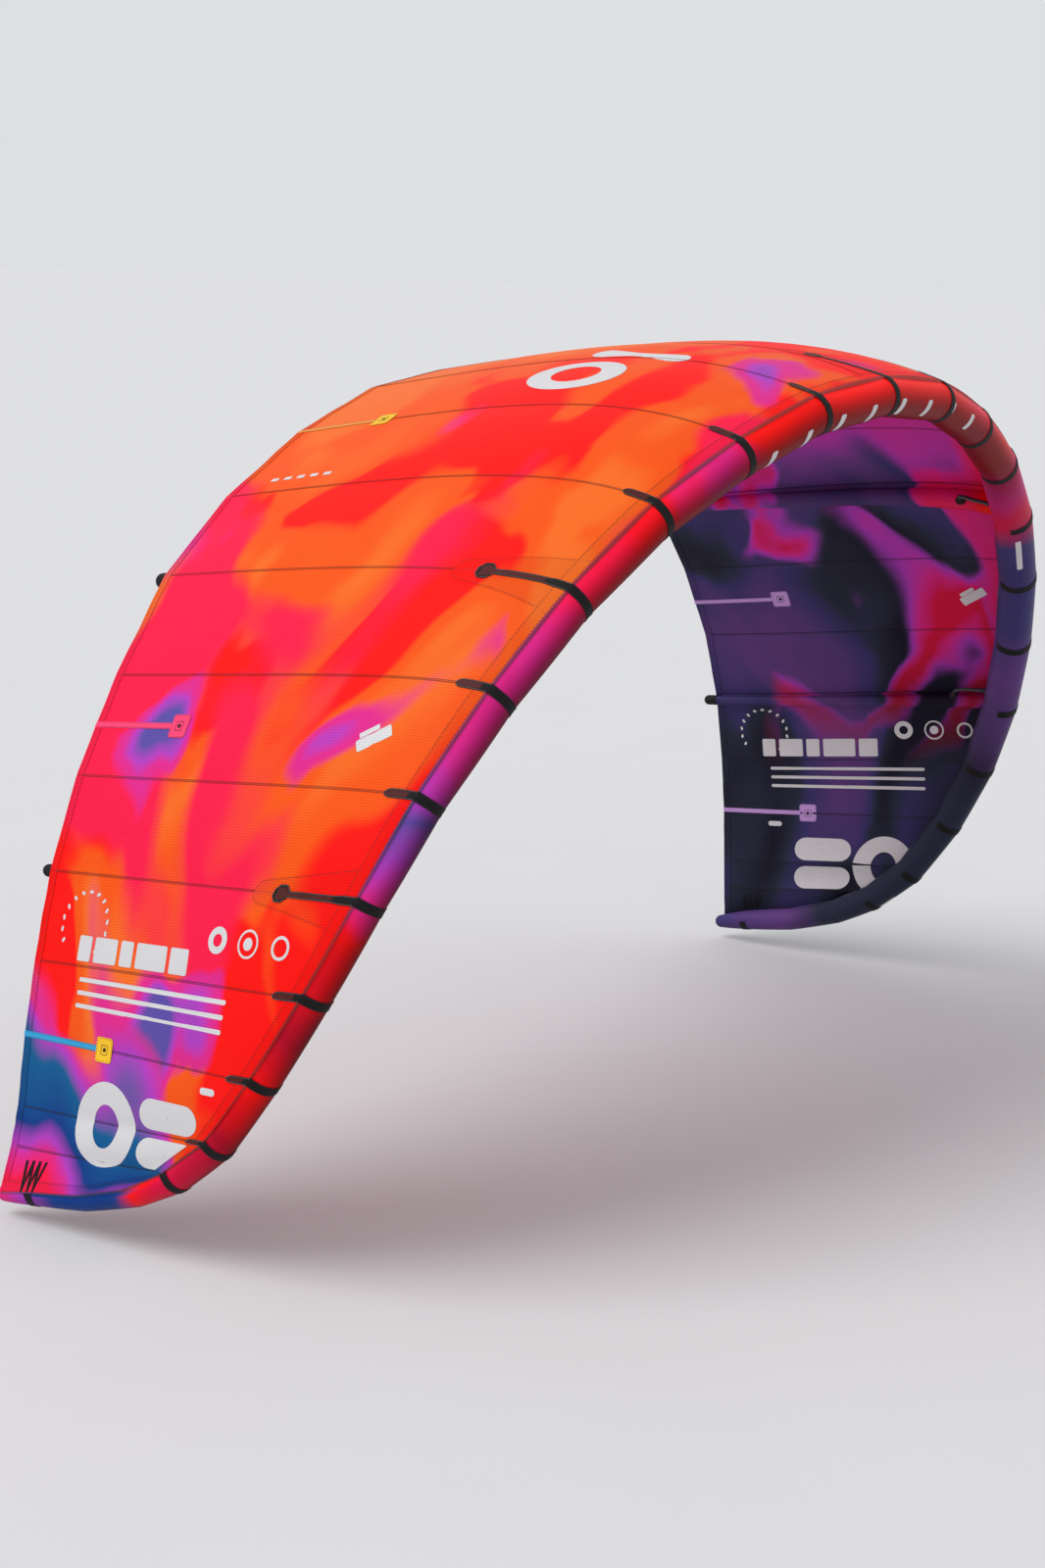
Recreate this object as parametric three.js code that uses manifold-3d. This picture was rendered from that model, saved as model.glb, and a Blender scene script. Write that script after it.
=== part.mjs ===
// An inflatable-leading-edge kitesurfing kite of 8 square metres, in its flying shape.
// Units are millimetres. X runs across the span, +Y towards the trailing edge, +Z up.
// The origin is on the axis of the leading-edge tube, at mid span.
import * as THREE from 'three';
import { mergeVertices } from 'three/addons/utils/BufferGeometryUtils.js';
import Module from 'manifold-3d';

const wasm = await Module();
wasm.setup();

// Driving dimensions: cloth, and the clearance between pieces
const clothThickness = 1.6;
const tapeThickness = 1.4;
const pieceGap = 0.6;
const clothGap = 1.2;
const panelCrown = 9;
// Seam tapes round the tube, and their tails on the canopy
const tapeWidth = 26;
const tapeTail = 88;
const tapeLap = 7;
const strutTapeTail = 262;
// Batten pockets on the trailing edge
const battenLength = 300;
const battenWidth = 17;
const battenPatchLength = 58;
const battenPatchWidth = 66;
const battenCorner = 4;
// Struts past the trailing edge, and the inflation hoses beside them
const strutOverhang = 24;
const hoseDiameter = 13;
const hoseReach = 140;
const hoseRise = 60;
// The webbing fan at each tip
const webbingWidth = 7;
const webbingThickness = 1.6;
const webbingStrokes = 6;
const webbingPitch = 11;
const webbingTop = 92;
const webbingFootOutside = 5;
const webbingFootInside = 24;
// Facets round the tubes, and on a seam tape that goes round to the rear or stops at a strut
const tubeSides = 20;
const strutSides = 12;
const tapeFacets = 11;
const tapeFacetsAtStrut = 8;

// The right half from mid span to the tip, seam by seam: the axis of the tube, its radius, the angle
// at which the canopy is sewn to it (degrees from outward, positive towards the trailing edge),
// the trailing-edge corner of the same rib, and two shares of its chord that shape its camber:
// how far its front runs on along the tube's skin, and how high its middle is held.
const sectionColumns = [
  'seam', 'across', 'back', 'up', 'radius', 'join', 'endAcross', 'endBack', 'endUp', 'front', 'camber',
];
const sectionRows = [
  [0, 0, 0, 0, 54, -15, 0, 1500, 0, 0.3, 0.08],
  [1, 354, 13, -31, 56, -19, 337, 1501, -38, 0.3, 0.078],
  [2, 681, 52, -126, 58, -23, 670, 1503, -148, 0.26, 0.074],
  [3, 981, 108, -260, 59, -27, 984, 1504, -309, 0.2, 0.066],
  [4, 1247, 174, -446, 60, -28, 1242, 1503, -502, 0.16, 0.055],
  [5, 1464, 249, -666, 60, -28, 1442, 1500, -749, 0.14, 0.032],
  [6, 1635, 333, -904, 59, -28, 1598, 1501, -998, 0.1, 0.012],
  [7, 1749, 421, -1146, 57, -26, 1698, 1506, -1240, 0.1, 0],
  [8, 1819, 524, -1382, 54, -20, 1756, 1512, -1474, 0.1, 0.01],
  [9, 1855, 651, -1608, 51, -8, 1792, 1518, -1668, 0.1, 0.015],
  [10, 1858, 792, -1803, 48, 8, 1816, 1525, -1862, 0.12, 0.02],
  [11, 1852, 933, -1921, 45, 22, 1836, 1533, -1968, 0.12, 0.03],
];
// The tip tube runs back under the last panel: share is how far along that panel's edge it has come.
const tipColumns = ['name', 'across', 'back', 'up', 'radius', 'join', 'share'];
const tipRows = [
  ['kink_front', 1851, 1073, -1993, 42.5, 16, 0.28],
  ['kink_back', 1846, 1255, -2050, 39, 14, 0.55],
  ['tip_seam', 1842, 1441, -2082, 34, 13, 0.85],
  ['tip_end', 1846, 1547, -2104, 23, 13, 1],
];
const chordShares = [0, 0.035, 0.08, 0.14, 0.21, 0.28, 0.37, 0.46, 0.55, 0.65, 0.75, 0.85, 0.93, 1];
const panelSteps = 3;
const tipShares = [1 / 3, 2 / 3, 1];
const struts = [
  { seam: -7, name: 'strut_outer_left', front: 29, rear: 16 },
  { seam: -4, name: 'strut_inner_left', front: 38, rear: 21 },
  { seam: 0, name: 'strut_centre', front: 41, rear: 23 },
  { seam: 4, name: 'strut_inner_right', front: 38, rear: 21 },
  { seam: 7, name: 'strut_outer_right', front: 29, rear: 16 },
];
// Battens stand on a seam, or halfway between two
const battens = [
  { place: 2, name: 'batten_inner' },
  { place: 5.5, name: 'batten_middle' },
  { place: 9, name: 'batten_outer' },
];
// A seam tape's tail on the canopy: shorter on the two seams before the last, and none beyond them
const shortTails = { 9: 74, 10: 62 };
const tailOfSeam = (seam) => (seam > 10 ? 0 : shortTails[seam] ?? tapeTail);
// The tape round the tip tube stands at this place along it, counted as a seam
const tipSeam = 14;
// Widths of a tail at shares of its length: a plain one narrows to a rounded end, and one over a
// strut narrows to a bar and ends in a six-sided patch.
const tailColumns = ['share', 'wide'];
const plainTail = [[0.12, 26], [0.5, 26], [0.86, 23], [0.96, 16], [1, 7]];
const strutTail = [
  [0.06, 26], [0.14, 26], [0.26, 20], [0.45, 20], [0.62, 20], [0.79, 16], [0.8, 16], [0.86, 50], [0.94, 50], [1, 18],
];

const colours = {
  leading_edge: [0xd81e3c, 0.45],
  canopy: [0xee4a2e, 0.6],
  strut: [0x5a3050, 0.5],
  tape: [0x141212, 0.6],
  hose: [0x101010, 0.5],
  batten: [0xd49ac8, 0.6],
  webbing: [0x161418, 0.7],
};

const vec = (x, y, z) => new THREE.Vector3(x, y, z);
const radians = THREE.MathUtils.degToRad;
const named = (columns, rows) => rows.map((r) => Object.fromEntries(columns.map((c, i) => [c, r[i]])));
const lerp = (a, b, t) => a.clone().lerp(b, t);
const add = (a, b, k = 1) => a.clone().addScaledVector(b, k);
const mesh = (name, geometry, look) => {
  const [color, roughness] = colours[look];
  const made = new THREE.Mesh(geometry, new THREE.MeshStandardMaterial({ color, roughness, metalness: 0 }));
  made.name = name;
  return made;
};

// Both halves as one list, from the left tip (negative side) to the right tip
const ribsRight = named(sectionColumns, sectionRows);
const tipsRight = named(tipColumns, tipRows);
const sideOf = (s, side) => ({
  ...s,
  side,
  centre: vec(side * s.across, s.back, s.up),
  end: s.endBack === undefined ? null : vec(side * s.endAcross, s.endBack, s.endUp),
});
const right = [...ribsRight, ...tipsRight].map((s) => sideOf(s, 1));
const left = [...ribsRight.slice(1), ...tipsRight].map((s) => sideOf(s, -1)).reverse();
const tube = [...left, ...right];
const middle = left.length;

// Each section's frame: run is along the tube, out points away from the kite's hollow side,
// rear points to where the cloth leaves the tube.
tube.forEach((s, k) => {
  const before = tube[Math.max(k - 1, 0)].centre;
  const after = tube[Math.min(k + 1, tube.length - 1)].centre;
  const inward = s.centre.clone().sub(before).normalize();
  const onward = after.clone().sub(s.centre).normalize();
  s.run = inward.clone().add(onward).normalize();
  s.segment = (onward.lengthSq() ? onward : inward).clone();
});
tube.forEach((s) => {
  const outer = tube[middle + s.side * (sectionRows.length - 1)];
  const chord = s.end ? s.end.clone().sub(s.centre) : outer.end.clone().sub(outer.centre);
  const across = s.end ? s.run : vec(0, 0, -s.side);
  s.chord = chord;
  s.outward = across.clone().cross(chord).normalize();
  s.out = s.outward.clone().addScaledVector(s.run, -s.outward.dot(s.run)).normalize();
  s.rear = s.out.clone().cross(s.run).normalize();
  s.mitre = s.segment.clone().addScaledVector(s.run, -s.segment.dot(s.run));
  const bend = s.segment.dot(s.run);
  s.stretch = s.mitre.lengthSq() > 1e-9 ? 1 / bend - 1 : 0;
  s.mitre.normalize();
});

// A point on the tube at section k, or part of the way to the next section
function tubePoint(k, angle, extra, towards = 0, share = 0) {
  const s = tube[k];
  const spoke = s.out.clone().multiplyScalar(Math.cos(angle)).addScaledVector(s.rear, Math.sin(angle));
  const mitred = add(spoke, s.mitre, spoke.dot(s.mitre) * s.stretch);
  const here = add(s.centre, mitred, s.radius + extra);
  if (!towards) return here;
  return lerp(here, tubePoint(k + towards, angle, extra), share);
}

// A closed solid through rings of equal point count, each ring running the same way round
function loft(rings) {
  const count = rings[0].length;
  const points = rings.flat();
  const faces = [];
  for (let i = 0; i + 1 < rings.length; i++) {
    for (let j = 0; j < count; j++) {
      const a = i * count + j;
      const b = i * count + ((j + 1) % count);
      faces.push([a, b, b + count], [a, b + count, a + count]);
    }
  }
  [0, rings.length - 1].forEach((i) => {
    const hub = points.length;
    points.push(rings[i].reduce((sum, p) => sum.add(p), vec(0, 0, 0)).divideScalar(count));
    for (let j = 0; j < count; j++) {
      const a = i * count + j;
      const b = i * count + ((j + 1) % count);
      faces.push(i ? [a, b, hub] : [b, a, hub]);
    }
  });
  return solidGeometry(points, faces);
}

// Merged, faces of no area dropped, and turned to face out
function solidGeometry(points, faces) {
  let geometry = new THREE.BufferGeometry().setFromPoints(points);
  geometry.setIndex(faces.flat());
  geometry = mergeVertices(geometry, 1e-3);
  const index = Array.from(geometry.index.array);
  const kept = [];
  for (let i = 0; i < index.length; i += 3) {
    const [a, b, c] = index.slice(i, i + 3);
    if (a !== b && b !== c && a !== c) kept.push(a, b, c);
  }
  if (signedVolume(geometry, kept) < 0) kept.reverse();
  geometry.setIndex(kept);
  geometry.computeVertexNormals();
  return geometry;
}

function signedVolume(geometry, index) {
  const position = geometry.getAttribute('position');
  const corner = (i) => vec(0, 0, 0).fromBufferAttribute(position, index[i]);
  let sum = 0;
  for (let i = 0; i < index.length; i += 3) sum += corner(i).dot(corner(i + 1).cross(corner(i + 2)));
  return sum / 6;
}

function toSolid(geometry) {
  const bare = new THREE.BufferGeometry().setAttribute('position', geometry.getAttribute('position'));
  bare.setIndex(geometry.index);
  const merged = mergeVertices(bare, 1e-3);
  return new wasm.Manifold(new wasm.Mesh({
    numProp: 3,
    vertProperties: new Float32Array(merged.attributes.position.array),
    triVerts: new Uint32Array(merged.index.array),
  }));
}

function toGeometry(solid) {
  const made = solid.getMesh();
  const geometry = new THREE.BufferGeometry();
  geometry.setAttribute('position', new THREE.BufferAttribute(new Float32Array(made.vertProperties), 3));
  geometry.setIndex(new THREE.BufferAttribute(new Uint32Array(made.triVerts), 1));
  geometry.computeVertexNormals();
  return geometry;
}

// The largest of the bodies that a cut leaves
const mainBody = (solid) => solid.decompose().sort((a, b) => b.volume() - a.volume())[0];

// The leading edge: cone panels mitred at the seams, closed by a rounded end at each tip
const ringAt = (k, extra) => Array.from(
  { length: tubeSides },
  (_, j) => tubePoint(k, (j / tubeSides) * 2 * Math.PI, extra),
);

function leadingEdge(extra = 0) {
  const rings = tube.map((_, k) => ringAt(k, extra));
  const caps = [0.35, 0.7, 0.95].map((t) => [t, Math.sqrt(1 - t * t)]);
  const capped = (k, way) => caps.map(([ahead, width]) => {
    const s = tube[k];
    const hub = add(s.centre, s.run, way * ahead * s.radius);
    return rings[k].map((p) => add(hub, p.clone().sub(s.centre), width));
  });
  return loft([...capped(0, -1).reverse(), ...rings, ...capped(tube.length - 1, 1)]);
}

// The canopy: a rib curve at each seam, from the tube's skin over its camber to the trailing edge
function ribCurve(k) {
  const s = tube[k];
  const join = radians(s.join);
  const start = tubePoint(k, join, pieceGap + clothThickness / 2);
  const chord = s.chord.length();
  const unit = s.chord.clone().normalize();
  const wrap = s.rear.clone().multiplyScalar(Math.cos(join)).addScaledVector(s.out, -Math.sin(join));
  const leave = wrap.multiplyScalar(unit.dot(s.rear)).addScaledVector(s.run, unit.dot(s.run));
  const rise = add(start, leave, s.front * chord);
  const fall = add(add(s.centre, unit, 0.55 * chord), s.outward, s.camber * chord);
  return new THREE.CubicBezierCurve3(start, rise, fall, s.end);
}

// Rib points are spaced by chord share along the curve's own parameter
const ribPoints = (k) => {
  const curve = ribCurve(k);
  return chordShares.map((t) => curve.getPoint(t));
};

// Where the last panel's lower edge is sewn to the tip tube
function tipEdge(side) {
  const first = middle + side * (sectionRows.length - 1);
  const knots = [0, 1, 2, 3, 4].map((i) => {
    const k = first + side * i;
    return {
      share: i ? tube[k].share : 0,
      point: tubePoint(k, radians(tube[k].join), pieceGap + clothThickness / 2),
    };
  });
  return chordShares.map((t) => {
    const i = Math.min(knots.findIndex((n) => t <= n.share + 1e-9) || 1, 4);
    const [a, b] = [knots[i - 1], knots[i]];
    return lerp(a.point, b.point, (t - a.share) / (b.share - a.share));
  });
}

// Station 0 is mid span; every panelSteps stations is a seam, and the tip panel's stations follow.
const panelCount = sectionRows.length - 1;
const stationsPerSide = panelCount * panelSteps + tipShares.length;
function stationPoints(station) {
  const side = Math.sign(station) || 1;
  const panel = Math.min(Math.floor(Math.abs(station) / panelSteps), panelCount);
  const step = Math.abs(station) - panel * panelSteps;
  const near = ribPoints(middle + side * panel);
  if (!step) return near;
  if (panel === panelCount) {
    const edge = tipEdge(side);
    return near.map((p, j) => lerp(p, edge[j], tipShares[step - 1]));
  }
  const far = ribPoints(middle + side * (panel + 1));
  const share = step / panelSteps;
  const outward = lerp(tube[middle + side * panel].outward, tube[middle + side * (panel + 1)].outward, share);
  const crown = panelCrown * 4 * share * (1 - share);
  return near.map((p, j) => add(lerp(p, far[j], share), outward, crown * Math.sin(Math.PI * chordShares[j])));
}

const stationRange = Array.from({ length: 2 * stationsPerSide + 1 }, (_, i) => i - stationsPerSide);
const skin = stationRange.map(stationPoints);
const skinNormals = skin.map((row, i) => row.map((_, j) => {
  const settled = Math.min(Math.max(i, 3), skin.length - 4);
  const from = j ? i : settled;
  const along = skin[Math.min(from + 1, skin.length - 1)][j].clone().sub(skin[Math.max(from - 1, 0)][j]);
  const back = skin[from][Math.min(j + 1, row.length - 1)].clone().sub(skin[from][Math.max(j - 1, 0)]);
  return along.cross(back).normalize();
}));

// A point of the canopy at a station and a chord share, lifted off its middle surface
function skinPoint(station, share, lift) {
  const x = station + stationsPerSide;
  const i = Math.min(Math.max(Math.floor(x), 0), skin.length - 2);
  let j = chordShares.findIndex((t) => share < t) - 1;
  if (j < 0) j = chordShares.length - 2;
  const u = (share - chordShares[j]) / (chordShares[j + 1] - chordShares[j]);
  const blend = (grid) => {
    const here = lerp(grid[i][j], grid[i][j + 1], u);
    const next = lerp(grid[i + 1][j], grid[i + 1][j + 1], u);
    return lerp(here, next, x - i);
  };
  return add(blend(skin), blend(skinNormals).normalize(), lift);
}

function canopy() {
  const half = clothThickness / 2;
  const width = chordShares.length;
  const count = skin.length * width;
  const points = [half, -half].flatMap((lift) => skin.flatMap(
    (row, i) => row.map((p, j) => add(p, skinNormals[i][j], lift)),
  ));
  const faces = [];
  const quad = (a, b, c, d) => faces.push([a, b, c], [a, c, d]);
  for (let i = 0; i + 1 < skin.length; i++) {
    for (let j = 0; j + 1 < width; j++) {
      const a = i * width + j;
      quad(a, a + width, a + width + 1, a + 1);
      quad(a + count, a + 1 + count, a + width + 1 + count, a + width + count);
    }
    const front = i * width;
    const rear = front + width - 1;
    quad(front, front + count, front + width + count, front + width);
    quad(rear, rear + width, rear + width + count, rear + count);
  }
  for (let j = 0; j + 1 < width; j++) {
    const last = (skin.length - 1) * width + j;
    quad(j, j + 1, j + 1 + count, j + count);
    quad(last, last + count, last + 1 + count, last + 1);
  }
  return solidGeometry(points, faces);
}

// A thin strip: each row has the same number of points across, on its top and on its underside
function ribbon(rows) {
  return loft(rows.map(({ top, under }) => [...top, ...under.slice().reverse()]));
}

// How much of a station one millimetre across is, next to a seam
function stationPerMillimetre(station, share) {
  const here = skinPoint(station, share, 0);
  const next = skinPoint(station + 0.25, share, 0);
  return 0.25 / here.distanceTo(next);
}

function skinRow(station, share, halfWidth, lift, thickness) {
  const across = halfWidth * stationPerMillimetre(station, share);
  const at = (rise) => [-1, 0, 1].map((side) => skinPoint(station + side * across, share, rise));
  return { top: at(lift + thickness / 2), under: at(lift - thickness / 2) };
}

// Chord share at a length along a rib, from the tube
function shareAt(station, length) {
  let gone = 0;
  for (let j = 1; j < chordShares.length; j++) {
    const [from, to] = [chordShares[j - 1], chordShares[j]];
    const piece = skinPoint(station, from, 0).distanceTo(skinPoint(station, to - 1e-6, 0));
    if (gone + piece >= length) return from + ((length - gone) / piece) * (to - from);
    gone += piece;
  }
  return 1;
}

// Angles round the tube, on its facets' edges, that end at a given angle a little past one of them
function wrapAngles(last, facets) {
  const facet = (2 * Math.PI) / tubeSides;
  const leastStep = 0.12;
  const top = Math.ceil(last / facet - 1 - leastStep) * facet;
  return [...Array.from({ length: facets }, (_, i) => top - (facets - 1 - i) * facet), last];
}

// The seam tape: round the front and underside of the tube, over the canopy's edge and back along it
function seamTape(seam, hasStrut) {
  const k = middle + seam;
  const s = tube[k];
  const half = tapeWidth / 2;
  const rise = pieceGap + tapeThickness;
  const span = (way) => half / s.centre.distanceTo(tube[k + way].centre);
  const tubeRow = (angle, extra) => {
    const at = (lift) => [
      tubePoint(k, angle, lift, -1, span(-1)),
      tubePoint(k, angle, lift),
      tubePoint(k, angle, lift, 1, span(1)),
    ];
    return { top: at(extra + rise), under: at(extra + pieceGap) };
  };
  const join = radians(s.join);
  const lap = radians(tapeLap);
  const facets = hasStrut ? tapeFacetsAtStrut : tapeFacets;
  const rows = wrapAngles(join - lap, facets).map((angle) => tubeRow(angle, 0));
  const length = hasStrut ? strutTapeTail : tailOfSeam(Math.abs(seam));
  if (!length) return ribbon(rows);
  rows.push(tubeRow(join - lap * 0.3, clothThickness + clothGap));
  const station = seam * panelSteps;
  const lift = clothThickness / 2 + clothGap + tapeThickness / 2;
  named(tailColumns, hasStrut ? strutTail : plainTail).forEach(({ share, wide }) => {
    rows.push(skinRow(station, shareAt(station, share * length), wide / 2, lift, tapeThickness));
  });
  return ribbon(rows);
}

// A strut: a tapering tube under a rib, run into the leading edge and cut back to its skin
function strutPath(strut) {
  const station = strut.seam * panelSteps;
  const along = [0.1, 0.18, 0.28, 0.4, 0.52, 0.64, 0.76, 0.88, 1];
  const knots = along.map((share) => {
    const radius = THREE.MathUtils.lerp(strut.front, strut.rear, share);
    return { at: skinPoint(station, share, -(clothThickness / 2 + clothGap + radius)), radius };
  });
  const s = tube[middle + strut.seam];
  const back = knots.at(-1).at.clone().sub(knots.at(-2).at).normalize();
  const tail = { at: add(knots.at(-1).at, back, strutOverhang), radius: strut.rear };
  return [{ at: add(s.centre, s.out, -4), radius: strut.front }, ...knots, tail];
}

function strutRings(strut, from, extra) {
  const path = strutPath(strut);
  const s = tube[middle + strut.seam];
  const ring = (at, run, radius) => {
    const flat = s.run.clone().addScaledVector(run, -s.run.dot(run)).normalize();
    const tall = flat.clone().cross(run).normalize();
    return Array.from({ length: strutSides }, (_, j) => {
      const angle = (j / strutSides) * 2 * Math.PI;
      return add(add(at, flat, radius * Math.cos(angle)), tall, radius * Math.sin(angle));
    });
  };
  const runs = path.map((_, i) => path[Math.min(i + 1, path.length - 1)].at.clone()
    .sub(path[Math.max(i - 1, 0)].at).normalize());
  const rings = path.slice(from).map((p, i) => ring(p.at, runs[i + from], p.radius + extra));
  const end = path.at(-1);
  const run = runs.at(-1);
  [[0.45, 0.89], [0.8, 0.6], [0.98, 0.2]].forEach(([ahead, width]) => {
    const radius = end.radius + extra;
    rings.push(ring(add(end.at, run, ahead * radius), run, width * radius));
  });
  return rings;
}

const edgeClearance = toSolid(leadingEdge(pieceGap));
const strutSolid = (strut, extra = 0) => toSolid(loft(strutRings(strut, 0, extra)));
const strutMesh = (strut) => toGeometry(mainBody(strutSolid(strut).subtract(edgeClearance)));

// The black sleeve over a strut's rear end, split along its top where the canopy's edge lies
function strutCap(strut) {
  const from = strutPath(strut).length - 1;
  const outer = toSolid(loft(strutRings(strut, from, pieceGap + tapeThickness)));
  const inner = toSolid(loft(strutRings(strut, from - 1, pieceGap)));
  return toGeometry(mainBody(outer.subtract(inner)));
}

// The inflation hose: out of the tube's underside beside a strut, in an arch, and down into the strut
function hose(strut) {
  const s = tube[middle + strut.seam];
  const way = strut.seam > 0 ? -1 : 1;
  const path = strutPath(strut);
  const back = path[3].at.clone().sub(path[0].at).normalize();
  const aside = s.run.clone().multiplyScalar(way);
  const under = s.out.clone().multiplyScalar(-1);
  const foot = add(path[0].at, back, s.radius + hoseReach);
  const points = [
    add(add(add(s.centre, aside, hoseRise), back, s.radius * 0.5), under, 12),
    add(add(add(s.centre, aside, hoseRise + 6), back, s.radius + 14), under, 20),
    add(add(add(s.centre, aside, hoseRise + 8), back, s.radius + 0.55 * hoseReach), under, 26),
    add(add(foot, aside, hoseRise), under, 18),
    add(add(foot, aside, strut.front * 0.95), under, 14),
    add(add(foot, aside, strut.front * 0.4), under, 12),
  ];
  const curve = new THREE.CatmullRomCurve3(points, false, 'centripetal');
  const round = new THREE.Shape().absarc(0, 0, hoseDiameter / 2, 0, 2 * Math.PI);
  const pipe = new THREE.ExtrudeGeometry(round, { steps: 12, curveSegments: 4, extrudePath: curve });
  const bare = new THREE.BufferGeometry().setAttribute('position', pipe.getAttribute('position'));
  const merged = mergeVertices(bare, 1e-3);
  const solid = toSolid(merged).subtract(edgeClearance).subtract(strutSolid(strut, pieceGap));
  return toGeometry(mainBody(solid));
}

// A batten pocket: a strip folded round the trailing edge, ending in a square patch on both faces
function batten(station) {
  const length = skinPoint(station, 0, 0).distanceTo(skinPoint(station, 0.999999, 0));
  const shareFor = (distance) => 1 - distance / length;
  const lift = clothThickness / 2 + clothGap + tapeThickness / 2;
  const patch = battenPatchWidth / 2;
  const strip = battenWidth / 2;
  const patchEnd = battenLength - battenPatchLength;
  const outline = [
    [battenLength, patch - battenCorner],
    [battenLength - battenCorner, patch],
    [patchEnd, patch],
    [patchEnd - 1, strip],
    ...[0.9, 0.65, 0.45, 0.25, 0.1].map((share) => [share * patchEnd, strip]),
    [1, strip],
  ];
  const leg = (side) => outline.map(([distance, width]) => {
    const row = skinRow(station, shareFor(distance), width, side * lift, tapeThickness);
    return side > 0 ? row : { top: row.under, under: row.top };
  });
  const reach = clothGap + tapeThickness;
  const turned = [[0.7, reach * 0.7], [0, reach], [-0.7, reach * 0.7]];
  const inner = lift - tapeThickness / 2;
  const outer = lift + tapeThickness / 2;
  const fold = turned.map(([height, ahead]) => {
    const across = strip * stationPerMillimetre(station, 0.999999);
    const at = (rise, push) => [-1, 0, 1].map((side) => {
      const edge = skinPoint(station + side * across, 0.999999, height * rise);
      const before = skinPoint(station + side * across, 0.97, height * rise);
      return add(edge, edge.clone().sub(before).normalize(), push);
    });
    return { top: at(outer, ahead + clothGap), under: at(inner, ahead + clothGap - tapeThickness) };
  });
  return ribbon([...leg(1), ...fold, ...leg(-1).reverse()]);
}

// The webbing fan at a tip: a narrow strap sewn flat on the cloth in a zigzag, its lower turns by the
// tube. Points are millimetres along the tube and up from it, laid on the tip panel.
function tipWebbing(side, face) {
  const first = side * panelCount * panelSteps;
  const last = first + side * tipShares.length;
  const foot = face > 0 ? webbingFootOutside : webbingFootInside;
  const tall = webbingTop - foot;
  const half = (webbingWidth / 2) * Math.hypot(1, webbingPitch / tall);
  const notch = (tall * half) / webbingPitch;
  const upper = [];
  const lower = [];
  for (let i = 0; i <= webbingStrokes; i++) {
    const along = (i - webbingStrokes / 2) * webbingPitch;
    const isTop = i % 2 === 0;
    const height = isTop ? webbingTop : foot;
    const turn = [[along - half, height], [along + half, height]];
    const crook = [along, isTop ? height - notch : height + notch];
    (isTop ? upper : lower).push(...turn);
    if (i > 0 && i < webbingStrokes) (isTop ? lower : upper).push(crook);
  }
  const outline = [...upper, ...lower.reverse()].map(([x, y]) => new THREE.Vector2(x, y));
  const seamShare = tipsRight.find((t) => t.name === 'tip_seam').share;
  const perShare = skinPoint(last, 0.93, 0).distanceTo(skinPoint(last, 0.75, 0)) / (0.93 - 0.75);
  const lift = face * (clothThickness / 2 + clothGap + webbingThickness / 2);
  const onPanel = ({ x, y }, rise) => {
    const share = seamShare + x / perShare;
    const depth = skinPoint(last - side * 1e-6, share, 0).distanceTo(skinPoint(first, share, 0));
    return skinPoint(last - side * tipShares.length * (y / depth), share, rise);
  };
  const points = [0.5, -0.5].flatMap((k) => outline.map((p) => onPanel(p, lift + k * webbingThickness)));
  const count = outline.length;
  const flat = THREE.ShapeUtils.triangulateShape(outline, []);
  const faces = flat.flatMap(([i, j, k]) => [[i, j, k], [k + count, j + count, i + count]]);
  const clockwise = THREE.ShapeUtils.isClockWise(outline);
  for (let i = 0; i < count; i++) {
    const j = (i + 1) % count;
    const [p, q] = clockwise ? [j, i] : [i, j];
    faces.push([p, p + count, q + count], [p, q + count, q]);
  }
  return solidGeometry(points, faces);
}

const kite = new THREE.Group();
kite.name = 'kitesurfing_kite';
kite.add(mesh('leading_edge', leadingEdge(), 'leading_edge'));
kite.add(mesh('canopy', canopy(), 'canopy'));

const strutSeams = struts.map((s) => s.seam);
const sideName = (n) => (n < 0 ? 'left' : 'right');
for (let seam = -panelCount; seam <= panelCount; seam++) {
  const name = seam ? `seam_tape_${sideName(seam)}_${Math.abs(seam)}` : 'seam_tape_centre';
  kite.add(mesh(name, seamTape(seam, strutSeams.includes(seam)), 'tape'));
}
for (const side of [-1, 1]) {
  kite.add(mesh(`seam_tape_${sideName(side)}_tip`, seamTape(side * tipSeam, false), 'tape'));
}
for (const strut of struts) {
  const place = strut.name.replace('strut_', '');
  kite.add(mesh(strut.name, strutMesh(strut), 'strut'));
  kite.add(mesh(`strut_cap_${place}`, strutCap(strut), 'tape'));
  kite.add(mesh(`hose_${place}`, hose(strut), 'hose'));
}
for (const side of [-1, 1]) {
  for (const { place, name } of battens) {
    kite.add(mesh(`${name}_${sideName(side)}`, batten(side * place * panelSteps), 'batten'));
  }
  kite.add(mesh(`tip_webbing_outside_${sideName(side)}`, tipWebbing(side, 1), 'webbing'));
  kite.add(mesh(`tip_webbing_inside_${sideName(side)}`, tipWebbing(side, -1), 'webbing'));
}

export default kite;
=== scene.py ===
import math

import bmesh
import bpy
import numpy as np
from mathutils import Matrix, Vector


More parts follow.
